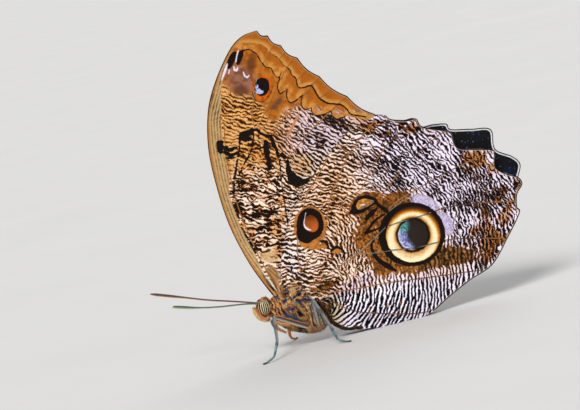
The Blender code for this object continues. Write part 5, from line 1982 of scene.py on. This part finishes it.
def towards(count, vector):
    return np.tile(np.array(vector, float), (count, 1))


def lean_over(lie, vector, share):
    """The way the hair lies, turned over to the vector by its share."""
    return lie * (1 - share[:, None]) + np.array(vector, float) * share[:, None]


def locks_with_painted_shade(corners, spacing, pull, seed):
    """Tufts drawn together at their tips into locks, and a brightness for each: a random tone for each
    lock, lighter at its middle and darker towards the next lock as painted shade.
    """
    rng = np.random.default_rng(seed)
    roots = corners[:, :3].mean(axis=1)
    _, leaders = np.unique(np.floor(roots / spacing).astype(int), axis=0, return_index=True)
    tree = KDTree(len(leaders))
    for i, k in enumerate(leaders):
        tree.insert(roots[k], i)
    tree.balance()
    found = [tree.find(root) for root in roots]
    mine = np.array([hit[1] for hit in found])
    away = np.array([hit[2] for hit in found])
    drawn = corners.copy()
    drawn[:, 6] += pull * (corners[leaders[mine], 6] - corners[:, 6])
    drawn[:, 3:6] += 0.4 * pull * (corners[leaders[mine], 3:6] - corners[:, 3:6])
    # Random tone for each lock, with painted shade: lighter at a lock's middle, darker between two locks.
    tone = rng.normal(1, 0.2, len(leaders))[mine] * (1.12 - 0.5 * ramp(away / spacing, 0.25, 0.75))
    return drawn, np.clip(tone, 0.35, 1.6)[:, None]


def add_coat_part(name, root, normal, place, lie, rise, length, width, seed, tint=None, pull=0.5):
    rng = np.random.default_rng(seed)
    corners = tuft_points(root, normal, lie, rise, length, width, rng)
    colour = coat_colour(corners[:, 3:6].mean(axis=1))
    if tint is not None:
        colour = tint(colour, corners[:, 3:6].mean(axis=1))
    # The locks also bring painted shade: tufts between two locks are darkened, besides a random tone for
    # each lock.
    corners, tone = locks_with_painted_shade(corners, LOCK_SPACING, pull, seed + 1)
    add_tufts(name, corners, varied(colour * tone, rng), place, coat)


def add_body_coat():
    rng = np.random.default_rng(401)

    def on_thorax(spots):
        x = spots[:, 0]
        return ramp(x, -24.0, -22.8) * (1 - ramp(x, -9.0, -7.6))

    root, normal, place = scatter(THORAX_TUFTS, on_thorax, 402)
    rear = ramp(root[:, 0], -18.5, -12.5)
    low = ramp(root[:, 2], 7.0, 3.5)
    lie = lean_over(towards(len(root), (0.62, 0, -0.7)), (0.12, 0, -1.0), rear)
    lie = lean_over(lie, (0.8, 0, -0.5), low)
    lie += 0.3 * beside(mottle(root[:, ::2], 1.6, 403), 0 * low, mottle(root[:, ::2], 1.6, 404))
    upper = ramp(root[:, 2], 13.0, 14.6)
    lie = lean_over(lie, (0.35, 0, 1.0), upper)
    length = (1.0 + 0.5 * rear + 0.5 * low) * rng.uniform(0.6, 1.25, len(root))
    width = rng.uniform(0.05, 0.09, len(root))
    add_coat_part("fur_thorax", root, normal, place, lie, 0.3 + 0.25 * upper, length, width, 410)

    def on_abdomen(spots):
        return ramp(spots[:, 0], -9.2, -7.6)

    root, normal, place = scatter(ABDOMEN_TUFTS, on_abdomen, 405)
    length = 0.8 * rng.uniform(0.6, 1.2, len(root))
    width = rng.uniform(0.04, 0.07, len(root))
    lie = towards(len(root), (1, 0, -0.1))
    add_coat_part("fur_abdomen", root, normal, place, lie, 0.18, length, width, 412)

    def on_head(spots):
        return 1 - ramp(spots[:, 0], -23.4, -22.6)

    root, normal, place = scatter(HEAD_TUFTS, on_head, 406)
    free = off_the_eyes(root)
    root, normal, place = root[free], normal[free], place[free]
    crown = ramp(root[:, 2], 13.2, 14.6)
    front = ramp(root[:, 0], -25.6, -26.8)
    lie = lean_over(towards(len(root), (0.4, 0, 0.6)), (-0.3, 0, -0.9), front)
    length = (0.6 + 0.7 * crown - 0.1 * front) * rng.uniform(0.6, 1.2, len(root))

    def face_tint(colour, spots):
        side = np.abs(spots[:, 1]) / EYE_PLACE[1]
        away = (spots - EYE_PLACE) / EYE_HALF_SIZE
        round_eye = ramp(np.hypot(away[:, 0], away[:, 2]), 1.45, 1.2)
        face = 0.7 * (spots[:, 0] < -25.0)
        return layered(colour, ((214, 150, 78), face), ((236, 122, 34), round_eye * ramp(side, 0.3, 0.6)))

    width = rng.uniform(0.035, 0.06, len(root))
    add_coat_part("fur_head", root, normal, place, lie, 0.3 + 0.7 * crown, length, width, 414, face_tint)


def add_collar():
    """Upright hair that closes the gap between head and thorax, in orange and black rows."""
    rng = np.random.default_rng(416)

    def on_neck(spots):
        x, z = spots[:, 0], spots[:, 2]
        return ramp(x, -24.4, -23.6) * (1 - ramp(x, -21.6, -20.4)) * ramp(z, 8.5, 10.5)

    root, normal, place = scatter(COLLAR_TUFTS, on_neck, 417)
    free = off_the_eyes(root)
    root, normal, place = root[free], normal[free], place[free]
    lie = towards(len(root), (-0.25, 0, 1.0))
    length = rng.uniform(1.0, 1.9, len(root))
    width = rng.uniform(0.05, 0.085, len(root))

    def row_tint(_, spots):
        place = (spots[:, 0] + 0.3 * spots[:, 2]) / COLLAR_ROW
        rows = np.sin(2 * math.pi * place + 2.4 * mottle(spots[:, ::2], 0.8, 418))
        black, orange = ramp(rows, -0.2, 0.3), ramp(-rows, 0.4, 0.9) * 0.6
        return painted(spots, (216, 164, 100), ((32, 28, 36), black), ((224, 136, 56), orange))

    add_coat_part("fur_collar", root, normal, place, lie, 0.55, length, width, 419, row_tint, 0.6)


coat = toned_material("coat_hair", 0.6, 0.5, 0.7, 1.3, sheen=0.05, specular=0.15)[0]
add_body_coat()
add_collar()

# %% [markdown]
# ## Hair over the wing roots
# The hinge of each wing lies under scales and hair that spread from the shoulder along the veins. They
# are rooted on the wing's own outer face, short and nearly flat, tawny on the veins and slate between.

# %% Wing root hair
HINGE = (-18.4, 12.4)
ROOT_HAIR_REACH = 5.6
ROOT_HAIR_COUNT = 3400


def root_tint(spots):
    """Tawny in spokes from the hinge, with slate and black between them."""
    away = spots - np.array(HINGE)
    spokes = np.sin(7 * np.arctan2(away[:, 0], away[:, 1]) + 2.4 * mottle(spots, 1.2, 441))
    slate = ramp(mottle(spots, 0.9, 442), 0.2, 0.45) * ramp(-spokes, -0.5, 0.2)
    black = ramp(mottle(spots, 0.6, 443), 0.45, 0.65) * ramp(-spokes, -0.6, 0.0)
    return painted(
        spots, (120, 90, 64), ((214, 150, 84), ramp(spokes, -0.5, 0.4)), ((50, 60, 100), slate),
        ((22, 17, 18), black), ((240, 206, 150), ramp(spokes, 0.6, 0.95) * 0.6),
    )


def add_root_hair(name, stand_off, ring, side, seed):
    rng = np.random.default_rng(seed)
    away = ROOT_HAIR_REACH * np.sqrt(rng.uniform(0, 1, ROOT_HAIR_COUNT))
    away = away * rng.uniform(0.4, 1.0, ROOT_HAIR_COUNT)
    turn = rng.uniform(0, 2 * math.pi, ROOT_HAIR_COUNT)
    spots = np.array(HINGE) + beside(away * np.cos(turn), away * np.sin(turn))
    spots = spots[inside(spots, ring)]
    count = len(spots)
    root = on_side(spots, side * (stand_off(spots) + MEMBRANE))
    lie = on_side(spots - np.array(HINGE), np.zeros(count))
    length = rng.uniform(0.5, 1.0, count)
    width = rng.uniform(0.04, 0.075, count)
    corners = tuft_points(root, towards(count, (0, side, 0)), lie, 0.14, length, width, rng)
    tone = root_tint(corners[:, 3:6].mean(axis=1)[:, ::2])
    corners, shadow = locks_with_painted_shade(corners, 0.5, 0.5, seed + 1)
    places = (spots - spots.min(axis=0)) / (2.4 * ROOT_HAIR_REACH) + 0.02
    add_tufts(name, corners, varied(tone * shadow, rng), places, coat, "wing_scales")


INNER_HAIR_COUNT = 1500
INNER_HAIR = [(-11.3, 10.8), (-10.1, 8.6), (-8.8, 4.8), (-5.8, 2.0), (-1.2, 1.0)]


def add_inner_hair(name, side, seed):
    """The fine hair of the hindwing's inner margin, lying over the abdomen's edge: brown, and most of it
    darkened to near black as painted shadow behind the hind thigh.
    """
    rng = np.random.default_rng(seed)
    line = smooth_path(INNER_HAIR, 0.05)
    count = INNER_HAIR_COUNT
    pick = rng.integers(0, len(line), count)
    ahead = unit(np.gradient(line, axis=0))[pick]
    inward = beside(-ahead[:, 1], ahead[:, 0])
    spots = line[pick] + inward * rng.uniform(0.0, 0.5, (count, 1))
    root = on_side(spots, side * (hind_stand_off(spots) + MEMBRANE * 0.8))
    lie = on_side(ahead - 0.5 * inward, np.zeros(count))
    length = rng.uniform(0.4, 0.8, count)
    width = rng.uniform(0.03, 0.055, count)
    corners = tuft_points(root, towards(count, (0, side, 0)), lie, 0.1, length, width, rng)
    corners[..., 2] = np.maximum(corners[..., 2], 0.05)
    # Painted shadow: most hairs go to near black, the shade behind the hind thigh, the rest stay brown.
    tone = blended(spots, (96, 72, 48), (20, 16, 15), ramp(rng.random(count), 0.0, 0.5))
    places = beside(pick / len(line), rng.uniform(0, 1, count))
    add_tufts(name, corners, varied(tone, rng), places, coat, "wing_scales")


for side, word, outer in SIDES:
    add_root_hair("fur_fore_root_" + word, fore_stand_off, fore_ring(), side, 451)
    add_root_hair("fur_hind_root_" + word, hind_stand_off, hind_ring(outer), side, 453)
    add_inner_hair("fur_inner_" + word, side, 455)

# %% [markdown]
# ## Hair on legs and palps, and the claws
# Fine scales and hairs clothe the thighs and shins, stiff spines stand along the shins and feet, and
# each foot ends in two hooked claws. The front legs carry the long brush that gives the family its name.

# %% Limb hair
SPINE_ROWS = 3
SPINE_LENGTH = 0.42
SPINE_WIDTH = 0.035
CLAW_LENGTH = 0.5
CLAW_WIDTH = 0.06
CLAW_TIP_HEIGHT = 0.06
LEG_HAIRS = 1500
FORELEG_HAIRS = 900
PALP_HAIRS = 1600


def along_tube(path, radii, count, rng):
    """Roots strewn over a tube, with the way out and the way along it at each."""
    ahead = unit(np.gradient(path, axis=0))
    at = rng.uniform(0, len(path) - 1.001, count)
    low = at.astype(int)
    part = (at - low)[:, None]
    centre = path[low] * (1 - part) + path[low + 1] * part
    heading = unit(ahead[low] * (1 - part) + ahead[low + 1] * part)
    radius = radii[low] * (1 - part[:, 0]) + radii[low + 1] * part[:, 0]
    out = unit(np.cross(heading, rng.normal(0, 1, (count, 3))))
    return centre + out * radius[:, None], out, heading, at / (len(path) - 1)


def add_limb_hair():
    rng = np.random.default_rng(411)
    corners, colours, places = [], [], []

    def keep(made, tone, at, row, kept):
        corners.append(made[kept])
        colours.append(varied(tone, rng)[kept])
        places.append(beside(at, np.full(len(at), (row + 0.5) / 10))[kept])

    for k, (name, (path, radii, share)) in enumerate(leg_paths.items()):
        fore = "fore" in name
        count = FORELEG_HAIRS if fore else LEG_HAIRS
        root, out, heading, at = along_tube(path, radii, count, rng)
        along = np.interp(at, np.linspace(0, 1, len(share)), share)
        hairy = 1.0 if fore else 1 - 0.75 * ramp(along, 0.9, 2.2)
        length = (0.8 if fore else 0.36) * rng.uniform(0.5, 1.2, count) * (0.35 + 0.65 * hairy)
        made = tuft_points(root, out, heading, 0.3, length, rng.uniform(0.02, 0.04, count), rng)
        tint = left_leg_tint if name.endswith("left") and not fore else right_leg_tint
        keep(made, tint(along, out), at, k, root[:, 2] > 0.5)
    for k, (path, radii) in enumerate(palp_paths.values()):
        root, out, heading, at = along_tube(path, radii, PALP_HAIRS, rng)
        length = 0.4 * rng.uniform(0.6, 1.3, PALP_HAIRS)
        made = tuft_points(root, out, heading, 0.3, length, rng.uniform(0.025, 0.045, PALP_HAIRS), rng)
        keep(made, palp_tint(at, out), at, k + 6, at > -1)
    add_tufts("fur_limbs", *[np.concatenate(rows) for rows in (corners, colours, places)], coat)


def add_spines_and_claws():
    """Stiff spines in rows along shins and feet, and two hooked claws on each toe."""
    rng = np.random.default_rng(421)
    corners = []
    for name, (path, radii, share) in leg_paths.items():
        if "fore" in name:
            continue
        ahead = unit(np.gradient(path, axis=0))
        for row in range(SPINE_ROWS):
            at = np.flatnonzero((share > 1.1) & (share < 3.9))[row::5]
            side = unit(np.cross(ahead[at], (math.cos(row * 2.1), math.sin(row * 2.1), 0.35)))
            root = path[at] + side * radii[at, None] * 0.8
            sizes = np.full(len(at), SPINE_LENGTH), np.full(len(at), SPINE_WIDTH)
            corners.append(tuft_points(root, side, ahead[at], 0.7, *sizes, rng))
        toe = path[-1]
        across = unit(np.cross(ahead[-1], (0, 0, 1)))
        for side in (-1, 1):
            root = np.array([toe + across * side * 0.1 + (0, 0, 0.05)])
            heading = np.array([unit(ahead[-1] + across * side * 0.45)])
            up = np.array([(0.0, 0.0, 1.0)])
            made = tuft_points(root, up, heading, 0.25, [CLAW_LENGTH], [CLAW_WIDTH], rng)
            made[:, 6, 2] = CLAW_TIP_HEIGHT
            corners.append(made)
    corners = np.concatenate(corners)
    corners[..., 2] = np.maximum(corners[..., 2], 0.03)
    colours = varied(np.tile(shade(52, 44, 38), (len(corners), 1)), rng)
    places = rng.uniform(0.05, 0.95, (len(corners), 2))
    add_tufts("leg_spines", corners, colours, places, coat, "leg_horn")


add_limb_hair()
add_spines_and_claws()

# %% [markdown]
# ## The fringe
# Along the outer margins stands a fringe of long narrow scales, dark with paler stretches, and palest on
# the hindwing. Each scale is a thin blade that points straight out from the edge.

# %% Fringe
FRINGE_LENGTH = 0.34
FRINGE_SPACING = 0.07
FRINGE_WIDTH = 0.04
FRINGE_ROOT = 0.1
FORE_FRINGE = ((48, 34, 24), (120, 92, 64))
HIND_FRINGE = ((28, 22, 20), (150, 138, 128))


def add_fringe(name, margin, stand_off, side, colours, seed):
    rng = np.random.default_rng(seed)
    lengths = length_along(margin)
    at = np.arange(0.2, lengths[-1] - 0.2, FRINGE_SPACING)
    at = at + rng.uniform(-0.02, 0.02, len(at))
    spots = beside(*[np.interp(at, lengths, margin[:, k]) for k in (0, 1)])
    ahead = unit(np.gradient(spots, axis=0))
    out = beside(ahead[:, 1], -ahead[:, 0])
    inward = spots - out * FRINGE_ROOT
    root = on_side(inward, side * stand_off(inward))
    heading = on_side(out, rng.normal(0, 0.12, len(at)))
    normal = towards(len(at), (0, side, 0))
    length = (FRINGE_LENGTH + FRINGE_ROOT) * rng.uniform(0.7, 1.1, len(at))
    made = tuft_points(root, normal, heading, 0.02, length, np.full(len(at), FRINGE_WIDTH), rng)
    made[..., 2] = np.clip(made[..., 2], 0.02, cad_top)
    pale = ramp(mottle(beside(at, 0 * at), 2.6, seed + 1), -0.2, 0.2)
    tone = varied(blended(spots, *colours, pale), rng, 0.12)
    add_tufts(name, made, tone, rng.uniform(0.05, 0.95, (len(at), 2)), coat, "wing_scales")


cad_top = float(np.max(cad_box)) / MM
for side, word, outer in SIDES:
    add_fringe("fringe_fore_" + word, fore_margin(), fore_stand_off, side, FORE_FRINGE, 431)
    add_fringe("fringe_hind_" + word, hind_margin(outer), hind_stand_off, side, HIND_FRINGE, 433)

# %% [markdown]
# ## The studio
# A pale floor and two large soft lamps, one high on the side of the camera and one behind, with a bright
# even surround. The wings are dull, so wide lamps show their colours without glare.

# %% Floor and light
FLOOR_SIZE = 30000.0


def add_floor():
    material, tree, shader = new_material("studio_floor", 0.85)
    tone = cover_with(tree, (0.60, 0.59, 0.565), (0.65, 0.64, 0.615), grain(tree, 60.0, 4.0))
    tree.links.new(tone, shader.inputs["Base Color"])
    half = FLOOR_SIZE / 2 * MM
    mesh = bpy.data.meshes.new("floor")
    corners = [(-half, -half, 0), (half, -half, 0), (half, half, 0), (-half, half, 0)]
    mesh.from_pydata(corners, [], [(0, 1, 2, 3)])
    mesh.materials.append(material)
    floor = bpy.data.objects.new("floor", mesh)
    bpy.context.scene.collection.objects.link(floor)


def add_lamp(name, place, strength, softness):
    """A far soft lamp that shines from place towards the butterfly."""
    light = bpy.data.lights.new(name, "SUN")
    light.energy = strength
    light.angle = math.radians(softness)
    lamp = bpy.data.objects.new(name, light)
    lamp.rotation_euler = (-Vector(place)).to_track_quat("-Z", "Y").to_euler()
    bpy.context.scene.collection.objects.link(lamp)


def add_surround(strength):
    world = bpy.data.worlds.new("surround")
    world.use_nodes = True
    world.node_tree.nodes["Background"].inputs["Color"].default_value = (0.93, 0.95, 1.0, 1)
    world.node_tree.nodes["Background"].inputs["Strength"].default_value = strength
    bpy.context.scene.world = world


add_floor()
add_lamp("lamp_key", (-0.55, -1.0, 1.0), 2.7, 24)
add_lamp("lamp_back", (0.6, 1.0, 0.9), 0.7, 40)
add_surround(0.5)
bpy.context.scene.view_settings.view_transform = "Standard"
print("lights", len(bpy.data.lights))
